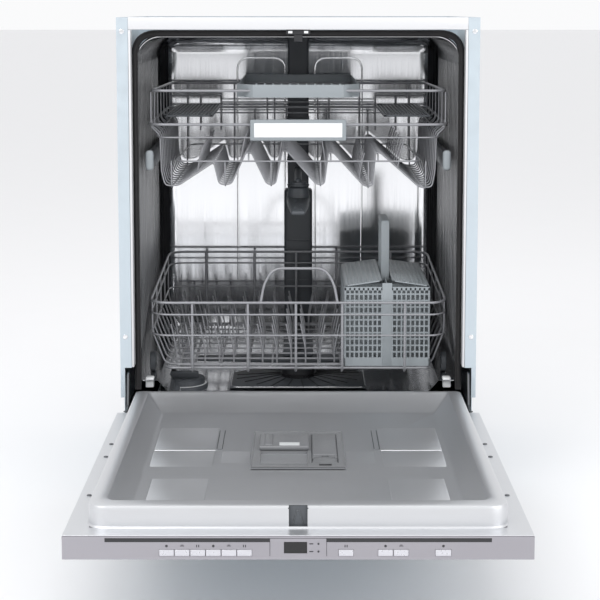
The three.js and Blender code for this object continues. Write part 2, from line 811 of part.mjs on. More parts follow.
function lowerBasketShape() {
  const parts = [];
  const frameHalf = basketHalf - lowerFrameInset;
  const y0 = basketFront;
  const y1 = basketBack;
  parts.push(wireLoop(basketHalf, y0, y1, basketCorner, lowerRimHeight));
  parts.push(wireLoop(basketHalf, y0, y1, basketCorner, lowerMiddleHeight));
  parts.push(wireLoop(frameHalf, y0 + lowerFrameSetback, y1 - lowerFrameSetback, basketCorner / 2,
    lowerFrameHeight));
  const middleY = (y0 + y1) / 2;
  const spanY = (y1 - y0) / 2 - basketCorner - 4;
  for (const side of [-1, 1]) {
    const rim = side * (basketHalf - rimWire / 2);
    const frame = side * (frameHalf - rimWire / 2);
    for (const step of [-1, -0.34, 0.34, 1]) {
      const y = middleY + step * spanY;
      parts.push(bar([rim, y, lowerRimHeight], [rim, y, lowerMiddleHeight]));
      parts.push(bar([rim, y, lowerMiddleHeight], [frame, y, lowerFrameHeight]));
    }
  }
  const spanX = frameHalf - basketCorner - 4;
  for (const step of [-1, -0.45, 0, 0.45, 1]) {
    const x = step * spanX;
    parts.push(bar([x, y0 + rimWire / 2, lowerRimHeight], [x, y0 + rimWire / 2, lowerFloorHeight]));
    parts.push(bar([x, y1 - rimWire / 2, lowerRimHeight], [x, y1 - rimWire / 2, lowerFloorHeight]));
    parts.push(bar([x, y0 + rimWire / 2, lowerFloorHeight], [x, y1 - rimWire / 2, lowerFloorHeight]));
  }
  for (const step of [-0.66, 0, 0.66]) {
    const y = middleY + step * spanY;
    parts.push(bar([-frameHalf, y, lowerFloorHeight], [frameHalf, y, lowerFloorHeight]));
    for (const side of [-1, 1]) {
      const x = side * (frameHalf - rimWire / 2);
      parts.push(bar([x, y, lowerFloorHeight], [x, y, lowerFrameHeight]));
    }
  }
  for (const step of [-0.66, 0]) {
    const y = middleY + step * spanY;
    for (let index = 0; index < 6; index += 1) {
      const x = -spanX + index * 46;
      parts.push(bar([x, y, lowerFloorHeight], [x - 14, y, lowerFloorHeight + tineHeight], 3));
    }
  }
  for (const [side, y] of wheelPlaces()) {
    const inner = side * (frameHalf - rimWire);
    const outer = side * (wheelX() + wheelWidth / 2 - 1);
    parts.push(rod('x', wheelPinRadius, Math.abs(outer - inner), (inner + outer) / 2, y, wheelZ(), 10));
    parts.push(bar([side * (frameHalf - rimWire / 2), y, lowerFrameHeight],
      [side * (frameHalf - rimWire / 2), y, wheelZ() - 3], 7));
  }
  return join(...parts);
}

function wheelX() {
  return ridgeInnerHalf + 1.5 + wheelWidth / 2;
}

function wheelZ() {
  return runwayHeight + gap + wheelRadius;
}

function wheelPlaces() {
  const front = basketFront + 70;
  const rear = basketBack - 70;
  return [[-1, front], [1, front], [-1, rear], [1, rear]];
}

function wheelShape() {
  const half = wheelWidth / 2;
  const bore = wheelPinRadius + runningClearance;
  return turned([
    [bore, -half], [wheelRadius - 1, -half], [wheelRadius, -half + 1], [wheelRadius, half - 1],
    [wheelRadius - 1, half], [bore, half], [bore, -half],
  ], 20).rotateY(Math.PI / 2);
}

const cutleryX = tubHalf - cutleryFromWall - cutleryWidth / 2;
const cutleryY = basketFront + 18 + cutleryLength / 2;
const cutleryZ = lowerFrameHeight + rimWire / 2 + 1;

// Gabled box with four deep compartments on each side of a handle spine.
function cutleryBasketShape() {
  const half = cutleryWidth / 2;
  const gable = outline([
    [-half, 0], [half, 0], [half, cutleryWallHeight], [8, cutleryWallHeight + cutleryRoofRise],
    [-8, cutleryWallHeight + cutleryRoofRise], [-half, cutleryWallHeight],
  ]);
  const shell = slabY(gable, -cutleryLength / 2, cutleryLength / 2);
  const cells = [];
  const cellLength = (cutleryLength - 5 * cutleryWall) / 4;
  for (const side of [-1, 1]) {
    const near = side > 0 ? 8 : -half + cutleryWall;
    const far = side > 0 ? half - cutleryWall : -8;
    for (let index = 0; index < 4; index += 1) {
      const y = -cutleryLength / 2 + cutleryWall + index * (cellLength + cutleryWall);
      cells.push(box(near, far, y, y + cellLength, cutleryWall, cutleryWallHeight + 20));
    }
  }
  const arm = cutleryHandleHeight + cutleryWallHeight + cutleryRoofRise;
  const handle = [
    box(-7.5, 7.5, -80, -66, cutleryWallHeight, arm),
    box(-7.5, 7.5, 66, 80, cutleryWallHeight, arm),
    box(-7.5, 7.5, -80, 80, arm - 12, arm),
  ];
  return join(cut(shell, ...cells), ...handle);
}

// One sloping lattice lid, drawn from its hinge at the spine.
function cutleryLidShape() {
  const reach = cutleryWidth / 2 - 9;
  const plate = box(0, reach, -cutleryLength / 2, cutleryLength / 2, 0, 2);
  const holes = [];
  for (let row = 0; row < 2; row += 1) {
    for (let column = 0; column < 4; column += 1) {
      const y = -cutleryLength / 2 + 6 + column * (cutleryLength - 8) / 4;
      const x = 6 + row * (reach - 8) / 2;
      holes.push(box(x, x + (reach - 20) / 2, y, y + (cutleryLength - 8) / 4 - 6, -1, 3));
    }
  }
  return cut(plate, ...holes);
}

// ---------------------------------------------------------------- upper basket

function upperBasketShape() {
  const parts = [];
  const floorHalf = basketHalf - upperFloorInset;
  const y0 = basketFront;
  const y1 = basketBack;
  const middleY = (y0 + y1) / 2;
  const spanY = (y1 - y0) / 2 - basketCorner - 4;
  const waist = railX - 9;
  parts.push(wireLoop(basketHalf - 3, y0, y1, basketCorner, upperRimHeight));
  parts.push(wireLoop(basketHalf, y0, y1, basketCorner, upperMiddleHeight));
  parts.push(wireLoop(floorHalf, y0 + 8, y1 - 8, basketCorner, upperFloorHeight));
  for (const side of [-1, 1]) {
    for (const step of [-1, -0.34, 0.34, 1]) {
      const y = middleY + step * spanY;
      const rim = side * (basketHalf - 3 - rimWire / 2);
      parts.push(bar([rim, y, upperRimHeight], [rim, y, upperMiddleHeight]));
      parts.push(bar([rim, y, upperMiddleHeight], [side * waist, y, upperMiddleHeight - 14]));
      parts.push(bar([side * waist, y, upperMiddleHeight - 14], [side * waist, y, upperFloorHeight + 8]));
      parts.push(bar([side * waist, y, upperFloorHeight + 8],
        [side * (floorHalf - rimWire / 2), y, upperFloorHeight]));
    }
    for (const y of rollerPlaces()) {
      const [inner, outer] = [side * (waist - 2), side * (railX + rollerWidth / 2 + 2)];
      parts.push(rod('x', rollerRadius(), rollerWidth - 2, side * (railX + rollerWidth / 2 - 4),
        y, railCentreHeight, 16));
      parts.push(rod('x', 3, Math.abs(outer - inner), (inner + outer) / 2, y, railCentreHeight, 8));
    }
    const [a, b] = rollerPlaces();
    parts.push(box(side * waist - 3.5, side * waist + 3.5, a - 16, b + 16,
      railCentreHeight - 8, railCentreHeight + 8));
  }
  const spanX = floorHalf - basketCorner - 4;
  for (const step of [-1, -0.5, 0, 0.5, 1]) {
    const x = step * spanX;
    for (const [rimY, floorY] of [[y0 + rimWire / 2, y0 + 8], [y1 - rimWire / 2, y1 - 8]]) {
      parts.push(bar([x, rimY, upperRimHeight], [x, rimY, upperMiddleHeight]));
      parts.push(bar([x, rimY, upperMiddleHeight], [x, floorY, upperFloorHeight]));
    }
    parts.push(bar([x, y0 + 11, upperFloorHeight], [x, y1 - 11, upperFloorHeight]));
  }
  for (const step of [-1, -0.34, 0.34, 1]) {
    const y = middleY + step * spanY;
    const z = upperFloorHeight - wireLap;
    parts.push(bar([-floorHalf + 2, y, z], [floorHalf - 2, y, z]));
  }
  return join(...parts);
}

function rollerRadius() {
  return railHeight / 2 - railWall - runningClearance;
}

function rollerPlaces() {
  return [basketFront + upperTravel / 2 + 14, basketBack - 45];
}

// Rail with a channel that faces the basket and a closed cap at its front end.
function railShape() {
  const half = railHeight / 2;
  const shape = outline([
    [0, -half], [railWidth, -half], [railWidth, half], [0, half], [0, half - railWall],
    [railWidth - railWall, half - railWall], [railWidth - railWall, -half + railWall],
    [0, -half + railWall],
  ]);
  const length = basketBack - 24 - (basketFront - 8);
  const channel = slabY(shape, 0, length);
  const cap = box(-1, railWidth + 0.5, -3, 10, -half - 2, half + 2);
  return join(channel, cap);
}

function handlePlateShape() {
  const plate = box(-handleWidth / 2, handleWidth / 2, -6, 0, 0, handleHeight);
  const recess = box(-handleWidth / 2 + 5, handleWidth / 2 - 5, -7, -4.5, 5, handleHeight - 5);
  return cut(plate, recess);
}

// Long tray for utensils: its ends hook over the front and rear top wires of the basket.
function utensilTrayShape() {
  const half = trayWidth / 2;
  const y0 = rimWire + 3;
  const y1 = basketBack - basketFront - rimWire - 3;
  const over = rimWire / 2 + 0.5;
  const outer = box(-half, half, y0, y1, -trayDepth / 2, trayDepth / 2);
  const hollow = box(-half + 2, half - 2, y0 + 2, y1 - 2, -trayDepth / 2 + 2, trayDepth);
  const hooks = [
    box(-half + 27, half - 27, -3, y0 + 1, over, over + 3),
    box(-half + 27, half - 27, -5, -2, -5, over + 3),
    box(-half + 27, half - 27, y1 - 1, y1 + rimWire + 4, over, over + 3),
  ];
  return join(cut(outer, hollow), ...hooks);
}

// Fold-up cup shelf, drawn from its hinge line; it reaches towards +X.
function cupShelfShape() {
  const plate = box(0, shelfReach, -shelfLength / 2, shelfLength / 2, -1.5, 1.5);
  const slots = [];
  const pitch = shelfLength / 5;
  for (let index = 0; index < 5; index += 1) {
    const y = -shelfLength / 2 + 5 + index * pitch;
    slots.push(box(10, shelfReach - 6, y, y + pitch - 10, -3, 3));
  }
  return cut(plate, ...slots);
}

// ---------------------------------------------------------------- assembly

function addCabinet(parent) {
  const group = new THREE.Group();
  for (const [label, side] of sides) {
    piece(group, `side_panel_${label}`, handed(sidePanelShape(), side), galvanised);
  }
  piece(group, 'front_top_rail', topRailShape(), whiteEnamel);
  piece(group, 'door_gasket', gasketShape(), rubberBlack);
  piece(group, 'tub_wrapper', tubWrapperShape(), stainless);
  piece(group, 'tub_back_wall', tubBackShape(), stainless);
  piece(group, 'tub_floor', tubFloorShape(), stainless);
  piece(group, 'rear_panel', rearPanelShape(), galvanised);
  piece(group, 'spray_duct', sprayDuctShape(), darkGreyPlastic);
  piece(group, 'lock_catch', lockCatchShape(), blackPlastic);
  parent.add(group);
}

function addBase(parent) {
  const group = new THREE.Group();
  piece(group, 'base_tray', baseTrayShape(), blackPlastic);
  piece(group, 'counterweight', counterweightShape(), castIron);
  for (const [label, side] of sides) {
    piece(group, `door_spring_${label}`, springShape(), springSteel,
      side * (baseHalf - springFromSide), 150, baseHeight + 60);
    piece(group, `front_foot_${label}`, footShape(), blackPlastic, side * footX(), frontFootY(), 0);
  }
  piece(group, 'rear_foot', footShape(), blackPlastic, 0, rearFootY(), 0);
  piece(group, 'sump_housing', sumpShape(), darkGreyPlastic);
  piece(group, 'circulation_pump', circulationPumpShape(), blackPlastic);
  piece(group, 'drain_pump', drainPumpShape(), blackPlastic);
  piece(group, 'water_softener', softenerShape(), whitePlastic);
  piece(group, 'salt_cap', saltCapShape(), darkGreyPlastic, saltX, saltY, 0);
  piece(group, 'filter_plate', filterPlateShape(), darkGreyPlastic, 0, spindleY, troughZ + 4);
  piece(group, 'filter_cup', filterCupShape(), blackPlastic, 0, spindleY, 0);
  const arm = piece(group, 'lower_spray_arm', lowerArmShape(), darkGreyPlastic,
    0, spindleY, lowerArmHeight);
  arm.rotation.z = lowerArmTurn;
  parent.add(group);
}

function addDoor(parent) {
  const group = new THREE.Group();
  group.position.set(0, hingeY, hingeHeight);
  piece(group, 'door_outer_panel', doorPanSection(), galvanised);
  piece(group, 'door_inner_liner', doorLinerShape(), stainless);
  piece(group, 'control_panel', controlPanelShape(), silverPlastic);
  piece(group, 'display_window', displayShape(), smokedLens, displayX(), -doorReach, displayLow());
  for (const { name, x, width } of buttonPlaces()) {
    piece(group, name, buttonShape(width), buttonSilver, x, -doorReach, buttonLow());
  }
  for (const [label, side] of sides) {
    piece(group, `hinge_arm_${label}`, hingeArmShape(), springSteel, side * hingeArmX, 0, 0);
  }
  piece(group, 'dispenser_housing', dispenserShape(), greyPlastic);
  piece(group, 'detergent_lid', detergentLidShape(), greyPlastic,
    -21, bayCentreY() + bayLength / 2 + 6, basinFloor + 3 + gap);
  piece(group, 'rinse_aid_lid', rinseLidShape(), greyPlastic, rinseX(), rinseY(), basinFloor - 1 + gap);
  parent.add(group);
}

function addLowerBasket(parent) {
  const group = new THREE.Group();
  piece(group, 'lower_basket', lowerBasketShape(), coatedWire);
  wheelPlaces().forEach(([side, y], index) => {
    const end = index < 2 ? 'front' : 'rear';
    const label = side < 0 ? 'left' : 'right';
    piece(group, `lower_wheel_${end}_${label}`, wheelShape(), darkGreyPlastic,
      side * wheelX(), y, wheelZ());
  });
  piece(group, 'cutlery_basket', cutleryBasketShape(), greyPlastic, cutleryX, cutleryY, cutleryZ);
  const slope = Math.atan2(cutleryRoofRise, cutleryWidth / 2 - 8);
  for (const [label, side] of sides) {
    const lid = piece(group, `cutlery_lid_${label}`, handed(cutleryLidShape(), side), greyPlastic,
      cutleryX + side * 8.5, cutleryY, cutleryZ + cutleryWallHeight + cutleryRoofRise + 1);
    lid.rotation.y = side * slope;
  }
  parent.add(group);
}

function addUpperBasket(parent) {
  const group = new THREE.Group();
  piece(group, 'upper_basket', upperBasketShape(), coatedWire);
  for (const [label, side] of sides) {
    piece(group, `rail_${label}`, handed(railShape(), side), greyPlastic,
      side * railX, basketFront - 8, railCentreHeight);
    piece(group, `cup_shelf_${label}`, handed(cupShelfShape(), -side), darkGreyPlastic,
      side * (railX - 14), (basketFront + basketBack) / 2, shelfHeight);
  }
  piece(group, 'upper_basket_handle', handlePlateShape(), greyPlastic, 0, basketFront - gap, 613.5);
  piece(group, 'utensil_tray', utensilTrayShape(), greyPlastic, 0, basketFront, upperRimHeight);
  const arm = piece(group, 'upper_spray_arm', upperArmShape(), darkGreyPlastic, 0, spindleY,
    upperArmHeight);
  arm.rotation.z = Math.PI / 2;
  parent.add(group);
}

const dishwasher = new THREE.Group();
const machine = new THREE.Group();
machine.position.set(0, -frameCentreY, 0);
dishwasher.add(machine);
addCabinet(machine);
addBase(machine);
addDoor(machine);
addLowerBasket(machine);
addUpperBasket(machine);

export default dishwasher;
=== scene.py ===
import json
import math
import bmesh
import bpy
from mathutils import Matrix, Vector


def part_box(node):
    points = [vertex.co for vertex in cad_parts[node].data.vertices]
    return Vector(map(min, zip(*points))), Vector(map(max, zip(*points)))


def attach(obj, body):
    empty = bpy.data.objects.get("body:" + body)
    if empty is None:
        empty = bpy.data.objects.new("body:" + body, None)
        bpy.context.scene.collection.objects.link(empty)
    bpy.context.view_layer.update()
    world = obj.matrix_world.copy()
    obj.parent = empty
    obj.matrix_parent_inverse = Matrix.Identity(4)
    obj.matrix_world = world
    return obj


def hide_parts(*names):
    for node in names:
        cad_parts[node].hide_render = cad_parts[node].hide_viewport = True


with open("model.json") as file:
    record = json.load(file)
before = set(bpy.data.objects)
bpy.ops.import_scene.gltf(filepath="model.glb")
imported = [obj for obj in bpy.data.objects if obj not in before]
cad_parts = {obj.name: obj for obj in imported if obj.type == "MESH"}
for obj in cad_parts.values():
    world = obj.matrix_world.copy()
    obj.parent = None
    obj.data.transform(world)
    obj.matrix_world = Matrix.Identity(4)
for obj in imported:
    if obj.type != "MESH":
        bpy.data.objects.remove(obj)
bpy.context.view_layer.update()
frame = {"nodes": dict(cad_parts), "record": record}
MM = 0.001

# Sizes below are millimetres. Y is counted from the cabinet's front plane, which is
# one cabinet depth in front of the rear panel's back face.
CABINET_DEPTH = 550.0
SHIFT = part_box("rear_panel")[1].y / MM - CABINET_DEPTH


def at(x, y, z):
    return Vector((x, y + SHIFT, z)) * MM


def span(node):
    """A CAD node's lowest and highest corners in this script's millimetres."""
    low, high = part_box(node)
    away = Vector((0.0, SHIFT, 0.0))
    return low / MM - away, high / MM - away


# ------------------------------------------------------------------ materials

def link(tree, start, end):
    tree.links.new(start, end)


def surface(name, colour, metallic, rough, spread=0.06, grain=(1.0, 1.0, 1.0), scale=90.0,
            bump=0.08, blotch=0.06, edge_lightening=0.25, coat=0.0):
    """A procedural finish: fine grain in roughness and height, broad tint, lighter edges."""
    material = bpy.data.materials.new(name)
    material.use_nodes = True
    tree = material.node_tree
    nodes = tree.nodes
    shader = nodes["Principled BSDF"]
    shader.inputs["Metallic"].default_value = metallic
    shader.inputs["Coat Weight"].default_value = coat
    place = nodes.new("ShaderNodeTexCoord")
    turn = nodes.new("ShaderNodeMapping")
    turn.inputs["Scale"].default_value = grain
    link(tree, place.outputs["Object"], turn.inputs["Vector"])
    fine = nodes.new("ShaderNodeTexNoise")
    fine.inputs["Scale"].default_value = scale
    fine.inputs["Detail"].default_value = 5.0
    link(tree, turn.outputs["Vector"], fine.inputs["Vector"])
    range_of = nodes.new("ShaderNodeMapRange")
    range_of.inputs["From Min"].default_value = 0.3
    range_of.inputs["From Max"].default_value = 0.7
    range_of.inputs["To Min"].default_value = max(rough - spread, 0.02)
    range_of.inputs["To Max"].default_value = rough + spread
    link(tree, fine.outputs["Fac"], range_of.inputs["Value"])
    link(tree, range_of.outputs["Result"], shader.inputs["Roughness"])
    broad = nodes.new("ShaderNodeTexNoise")
    broad.inputs["Scale"].default_value = 7.0
    broad.inputs["Detail"].default_value = 2.0
    link(tree, place.outputs["Object"], broad.inputs["Vector"])
    tint = nodes.new("ShaderNodeMix")
    tint.data_type = "RGBA"
    tint.inputs["A"].default_value = (*colour, 1.0)
    tint.inputs["B"].default_value = (*[c * (1.0 - blotch) for c in colour], 1.0)
    link(tree, broad.outputs["Fac"], tint.inputs["Factor"])
    shape = nodes.new("ShaderNodeNewGeometry")
    edge = nodes.new("ShaderNodeMapRange")
    edge.inputs["From Min"].default_value = 0.52
    edge.inputs["From Max"].default_value = 0.6
    edge.inputs["To Max"].default_value = edge_lightening
    link(tree, shape.outputs["Pointiness"], edge.inputs["Value"])
    # Colour lifted towards a lighter tint on sharp convex edges, by the edge_lightening amount.
    lighter_edges = nodes.new("ShaderNodeMix")
    lighter_edges.data_type = "RGBA"
    lighter_edges.inputs["B"].default_value = (*[min(c * 1.25 + 0.03, 1.0) for c in colour], 1.0)
    link(tree, edge.outputs["Result"], lighter_edges.inputs["Factor"])
    link(tree, tint.outputs["Result"], lighter_edges.inputs["A"])
    link(tree, lighter_edges.outputs["Result"], shader.inputs["Base Color"])
    height = nodes.new("ShaderNodeBump")
    height.inputs["Strength"].default_value = bump
    height.inputs["Distance"].default_value = 0.0003
    link(tree, fine.outputs["Fac"], height.inputs["Height"])
    link(tree, height.outputs["Normal"], shader.inputs["Normal"])
    return material


ALONG_X = (2.0, 300.0, 300.0)
ALONG_Z = (70.0, 70.0, 1.0)
finishes = {
    "stainless": surface("Brushed_stainless", (0.62, 0.63, 0.65), 1.0, 0.30, 0.04, ALONG_X, 6.0,
                         0.03, 0.04),
    "galvanised": surface("Galvanised_sheet", (0.56, 0.63, 0.68), 0.75, 0.42, 0.10, scale=45.0, bump=0.05),
    "white_enamel": surface("White_enamel", (0.68, 0.685, 0.70), 0.0, 0.32, 0.04, scale=160.0, coat=0.2),
    "silver_plastic": surface("Silver_plastic", (0.36, 0.35, 0.38), 0.55, 0.38, 0.05, scale=420.0,
                              bump=0.04),
    "button_silver": surface("Button_silver", (0.62, 0.62, 0.66), 0.45, 0.30, 0.04, scale=420.0, bump=0.03),
    "black_plastic": surface("Black_plastic", (0.018, 0.019, 0.022), 0.0, 0.45, 0.07, scale=500.0),
    "dark_grey_plastic": surface("Dark_grey_plastic", (0.072, 0.08, 0.09), 0.0, 0.45, 0.07, scale=420.0),
    "grey_plastic": surface("Grey_plastic", (0.29, 0.32, 0.34), 0.0, 0.42, 0.06, scale=420.0),
    "white_plastic": surface("White_plastic", (0.86, 0.88, 0.89), 0.0, 0.38, 0.05, scale=300.0),
    "smoked_lens": surface("Smoked_lens", (0.006, 0.007, 0.009), 0.0, 0.08, 0.02, scale=200.0,
                           bump=0.0, coat=1.0),
    "rubber_black": surface("Black_rubber", (0.012, 0.011, 0.012), 0.0, 0.68, 0.09, scale=600.0, bump=0.2),
    "coated_wire": surface("Coated_wire", (0.31, 0.315, 0.335), 0.3, 0.32, 0.06, scale=300.0, bump=0.05),
    "spring_steel": surface("Spring_steel", (0.17, 0.18, 0.19), 1.0, 0.34, 0.08, ALONG_Z, 5.0, 0.1),
    "cast_iron": surface("Cast_iron", (0.10, 0.10, 0.11), 0.3, 0.75, 0.1, scale=220.0, bump=0.5),
}
mirror_steel = surface("Bright_steel", (0.86, 0.87, 0.89), 1.0, 0.12, 0.05, ALONG_Z, 4.0, 0.06, 0.05)
# Near-black copy of the tub's steel for its side walls: painted shade, with stretched grain in roughness and
# height.
shaded_side_steel = surface("Streaked_steel_painted_shade", (0.055, 0.057, 0.062), 0.5, 0.30, 0.07, ALONG_Z, 5.0, 0.09, 0.7)
liner_steel = surface("Satin_steel", (0.68, 0.69, 0.71), 1.0, 0.42, 0.04, ALONG_X, 6.0, 0.03, 0.04)
display_glass = surface("Display_glass", (0.004, 0.004, 0.005), 0.0, 0.10, 0.02, scale=300.0, bump=0.0)
dispenser_grey = surface("Dispenser_grey", (0.20, 0.205, 0.215), 0.2, 0.36, 0.05, scale=420.0)
felt = surface("Bitumen_felt", (0.03, 0.03, 0.032), 0.0, 0.9, 0.06, scale=260.0, bump=0.9)
label_grey = surface("Pale_recess", (0.55, 0.57, 0.58), 0.0, 0.4, 0.05, scale=300.0)
icon_dark = surface("Printed_icons", (0.03, 0.03, 0.035), 0.0, 0.5, 0.04, scale=500.0)

# Every CAD node that stays in view takes its procedural finish too.
for entry in frame["record"]["subparts"]:
    node = frame["nodes"][entry["node"]]
    node.data.materials.clear()
    node.data.materials.append(finishes[entry["material_slot"]])
for name, finish in (("tub_floor", mirror_steel), ("dispenser_housing", dispenser_grey),
                     ("display_window", display_glass)):
    frame["nodes"][name].data.materials[0] = finish


# ------------------------------------------------------------------ shaping tools

def edges_of(verts):
    return list(dict.fromkeys(e for v in verts for e in v.link_edges))


def block(bm, low, high, bevel=0.0, segments=2, turn=None):
    """A box between two opposite corners, its edges rounded by bevel."""
    lowest = at(*map(min, low, high))
    highest = at(*map(max, low, high))
    size = highest - lowest
    place = Matrix.Translation((lowest + highest) / 2.0) @ Matrix.Diagonal((*size, 1.0))
    made = bmesh.ops.create_cube(bm, size=1.0, matrix=place)
    verts = made["verts"]
    if turn is not None:
        bmesh.ops.transform(bm, matrix=turn, verts=verts)
    if bevel:
        bmesh.ops.bevel(bm, geom=edges_of(verts), offset=bevel * MM, segments=segments,
                        profile=0.5, affect="EDGES", material=-1)


def turned(centre, angle, axis):
    """A turn by an angle about the axis through a place."""
    middle = at(*centre)
    return Matrix.Translation(middle) @ Matrix.Rotation(angle, 4, axis) @ Matrix.Translation(-middle)


AXES = {
    "x": Matrix.Rotation(math.pi / 2.0, 4, "Y"),
    "y": Matrix.Rotation(-math.pi / 2.0, 4, "X"),
    "z": Matrix.Identity(4),
}


def drum(bm, axis, radius, length, centre, sides=32, bevel=0.0, top=None):
    """A cylinder or cone along one axis, its rims rounded by bevel."""
    place = Matrix.Translation(at(*centre)) @ AXES[axis]
    made = bmesh.ops.create_cone(bm, cap_ends=True, segments=sides, radius1=radius * MM,
                                 radius2=(radius if top is None else top) * MM,
                                 depth=length * MM, matrix=place)
    if bevel:
        rims = [e for e in edges_of(made["verts"]) if any(len(f.verts) > 4 for f in e.link_faces)]
        bmesh.ops.bevel(bm, geom=rims, offset=bevel * MM, segments=2, profile=0.5,
                        affect="EDGES", material=-1)


def lathe(bm, centre, profile, steps=48):
    """A profile of (radius, height) pairs spun round the upright axis through centre."""
    middle = at(*centre)
    verts = [bm.verts.new(middle + Vector((r, 0.0, z)) * MM) for r, z in profile]
    edges = [bm.edges.new(pair) for pair in zip(verts, verts[1:])]
    bmesh.ops.spin(bm, geom=verts + edges, cent=middle, axis=(0.0, 0.0, 1.0),
                   angle=2.0 * math.pi, steps=steps, use_merge=True)


def axis_of(low, high):
    """The upright axis through the middle of a box."""
    return (low.x + high.x) / 2, (low.y + high.y) / 2, 0.0


def rim_ribs(bm, centre, count, inner, outer, half_width, z0, z1):
    """Upright ribs all round a cap, between two radii."""
    for k in range(count):
        turn = turned(centre, k * 2.0 * math.pi / count, "Z")
        block(bm, (centre[0] + inner, centre[1] - half_width, z0),
              (centre[0] + outer, centre[1] + half_width, z1), turn=turn)


def arched_shell(low, high, corner, left_off):
    """A box with some of its faces left off and the edges between the others rounded."""
    bm = bmesh.new()
    size = high - low
    place = Matrix.Translation((low + high) / 2.0) @ Matrix.Diagonal((*size, 1.0))
    bmesh.ops.create_cube(bm, size=1.0, matrix=place)
    opened = [f for f in bm.faces if left_off(f.normal)]
    bmesh.ops.delete(bm, geom=opened, context="FACES")
    inner = [e for e in bm.edges if len(e.link_faces) == 2]
    bmesh.ops.bevel(bm, geom=inner, offset=corner * MM, segments=10, profile=0.5,
                    affect="EDGES", material=-1)
    bmesh.ops.recalc_face_normals(bm, faces=bm.faces)
    return bm


def finished(name, bm, material, body, replaced=(), angle=35.0):
    """Closes the mesh work and hands the piece to its body."""
    bmesh.ops.remove_doubles(bm, verts=bm.verts, dist=0.00001)
    bmesh.ops.recalc_face_normals(bm, faces=bm.faces)
    mesh = bpy.data.meshes.new(name)
    bm.to_mesh(mesh)
    bm.free()
    mesh.shade_smooth()
    mesh.set_sharp_from_angle(angle=math.radians(angle))
    mesh.materials.append(material)
    piece = bpy.data.objects.new(name, mesh)
    bpy.context.scene.collection.objects.link(piece)
    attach(piece, body)
    if replaced:
        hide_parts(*replaced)
    return piece


def bend(points, radius, closed=False, steps=5):
    """The same path with each corner rounded, by one radius or by one for each corner."""
    count = len(points)
    path = []
    for i, corner in enumerate(points):
        here = Vector(corner)
        if not closed and i in (0, count - 1):
            path.append(here)
            continue
        before = Vector(points[i - 1]) - here
        after = Vector(points[(i + 1) % count]) - here
        bow = radius[i] if isinstance(radius, tuple) else radius
        reach = min(bow, before.length * 0.48, after.length * 0.48)
        start = here + before.normalized() * reach
        end = here + after.normalized() * reach
        for k in range(steps + 1):
            t = k / steps
            path.append(start * (1 - t) ** 2 + here * 2 * t * (1 - t) + end * t ** 2)
    return path


def wires(name, paths, thickness, material, body, replaced=(), sides=2):
    """Round wires along the paths given, each a list of points and whether it closes."""
    curve = bpy.data.curves.new(name, "CURVE")
    curve.dimensions = "3D"
    curve.bevel_depth = thickness / 2.0 * MM
    curve.bevel_resolution = sides
    curve.use_fill_caps = True
    for points, closed in paths:
        spline = curve.splines.new("POLY")
        spline.points.add(len(points) - 1)
        for target, point in zip(spline.points, points):
            target.co = (*at(*point), 1.0)
        spline.use_cyclic_u = closed
        spline.use_smooth = True
    curve.materials.append(material)
    piece = bpy.data.objects.new(name, curve)
    bpy.context.scene.collection.objects.link(piece)
    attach(piece, body)
    if replaced:
        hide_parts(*replaced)
    return piece


def loop(half, y0, y1, corner, z, z_rear=None):
    """A closed wire round a basket, which may rise towards the rear."""
    back = z if z_rear is None else z_rear
    points = [(-half, y0, z), (half, y0, z), (half, y1, back), (-half, y1, back)]
    return bend(points, corner, closed=True), True


# ------------------------------------------------------------------ cabinet

wrapper_low, wrapper_high = span("tub_wrapper")
TUB_HALF = wrapper_high.x - 2.0
TUB_TOP = wrapper_high.z - 2.0
TUB_FRONT = wrapper_low.y + 0.3
TUB_BACK = wrapper_high.y
TUB_FOOT = wrapper_low.z
TUB_CORNER = 41.0
TUB_SHEET = 1.0
RIB_PITCH = 23.0
RIB_HALF = 4.5
RIB_PROUD = 1.6


def tub():
    """Bright tub, open in front and below, with fine upright ribs on its sides, which take a near-black copy
    of the same steel as painted shade.
    """
    bm = arched_shell(at(-TUB_HALF, TUB_FRONT, TUB_FOOT), at(TUB_HALF, TUB_BACK, TUB_TOP),
                      TUB_CORNER, lambda normal: normal.y < -0.5 or normal.z < -0.5)
    bmesh.ops.reverse_faces(bm, faces=bm.faces)
    bmesh.ops.solidify(bm, geom=bm.faces[:], thickness=-TUB_SHEET * MM)
    for side in (-1, 1):
        wall = side * TUB_HALF
        for k in range(17):
            y = 74.0 + k * RIB_PITCH
            block(bm, (wall, y - RIB_HALF, 232), (wall - side * RIB_PROUD, y + RIB_HALF, 742), 1.4, 3)
    bm.normal_update()
    # Faces turned sideways take the near-black copy of the steel: painted shade on the tub's side walls.
    for face in bm.faces:
        face.material_index = 1 if abs(face.normal.x) > 0.6 else 0
    shell = finished("Tub_shell", bm, mirror_steel, "cabinet", ("tub_wrapper", "tub_back_wall"))
    shell.data.materials.append(shaded_side_steel)
    arches = []
    for x0, x1 in ((-119, -26), (33, 125)):
        points = [(x0, TUB_BACK + 3, 300), (x0, TUB_BACK + 3, 739), (x1, TUB_BACK + 3, 739),
                  (x1, TUB_BACK + 3, 300)]
        arches.append((bend(points, 24, steps=8), False))
    wires("Tub_back_beads", arches, 9.0, mirror_steel, "cabinet", sides=3)


def tub_cover():
    """Sound-deadening felt over the tub's sides and ceiling."""
    bm = arched_shell(at(-TUB_HALF - 3, TUB_FRONT + 30, 330), at(TUB_HALF + 3, TUB_BACK - 30, TUB_TOP + 3),
                      TUB_CORNER + 1.0, lambda normal: abs(normal.y) > 0.5 or normal.z < -0.5)
    bmesh.ops.solidify(bm, geom=bm.faces[:], thickness=TUB_SHEET * MM)
    finished("Tub_felt_cover", bm, felt, "cabinet")


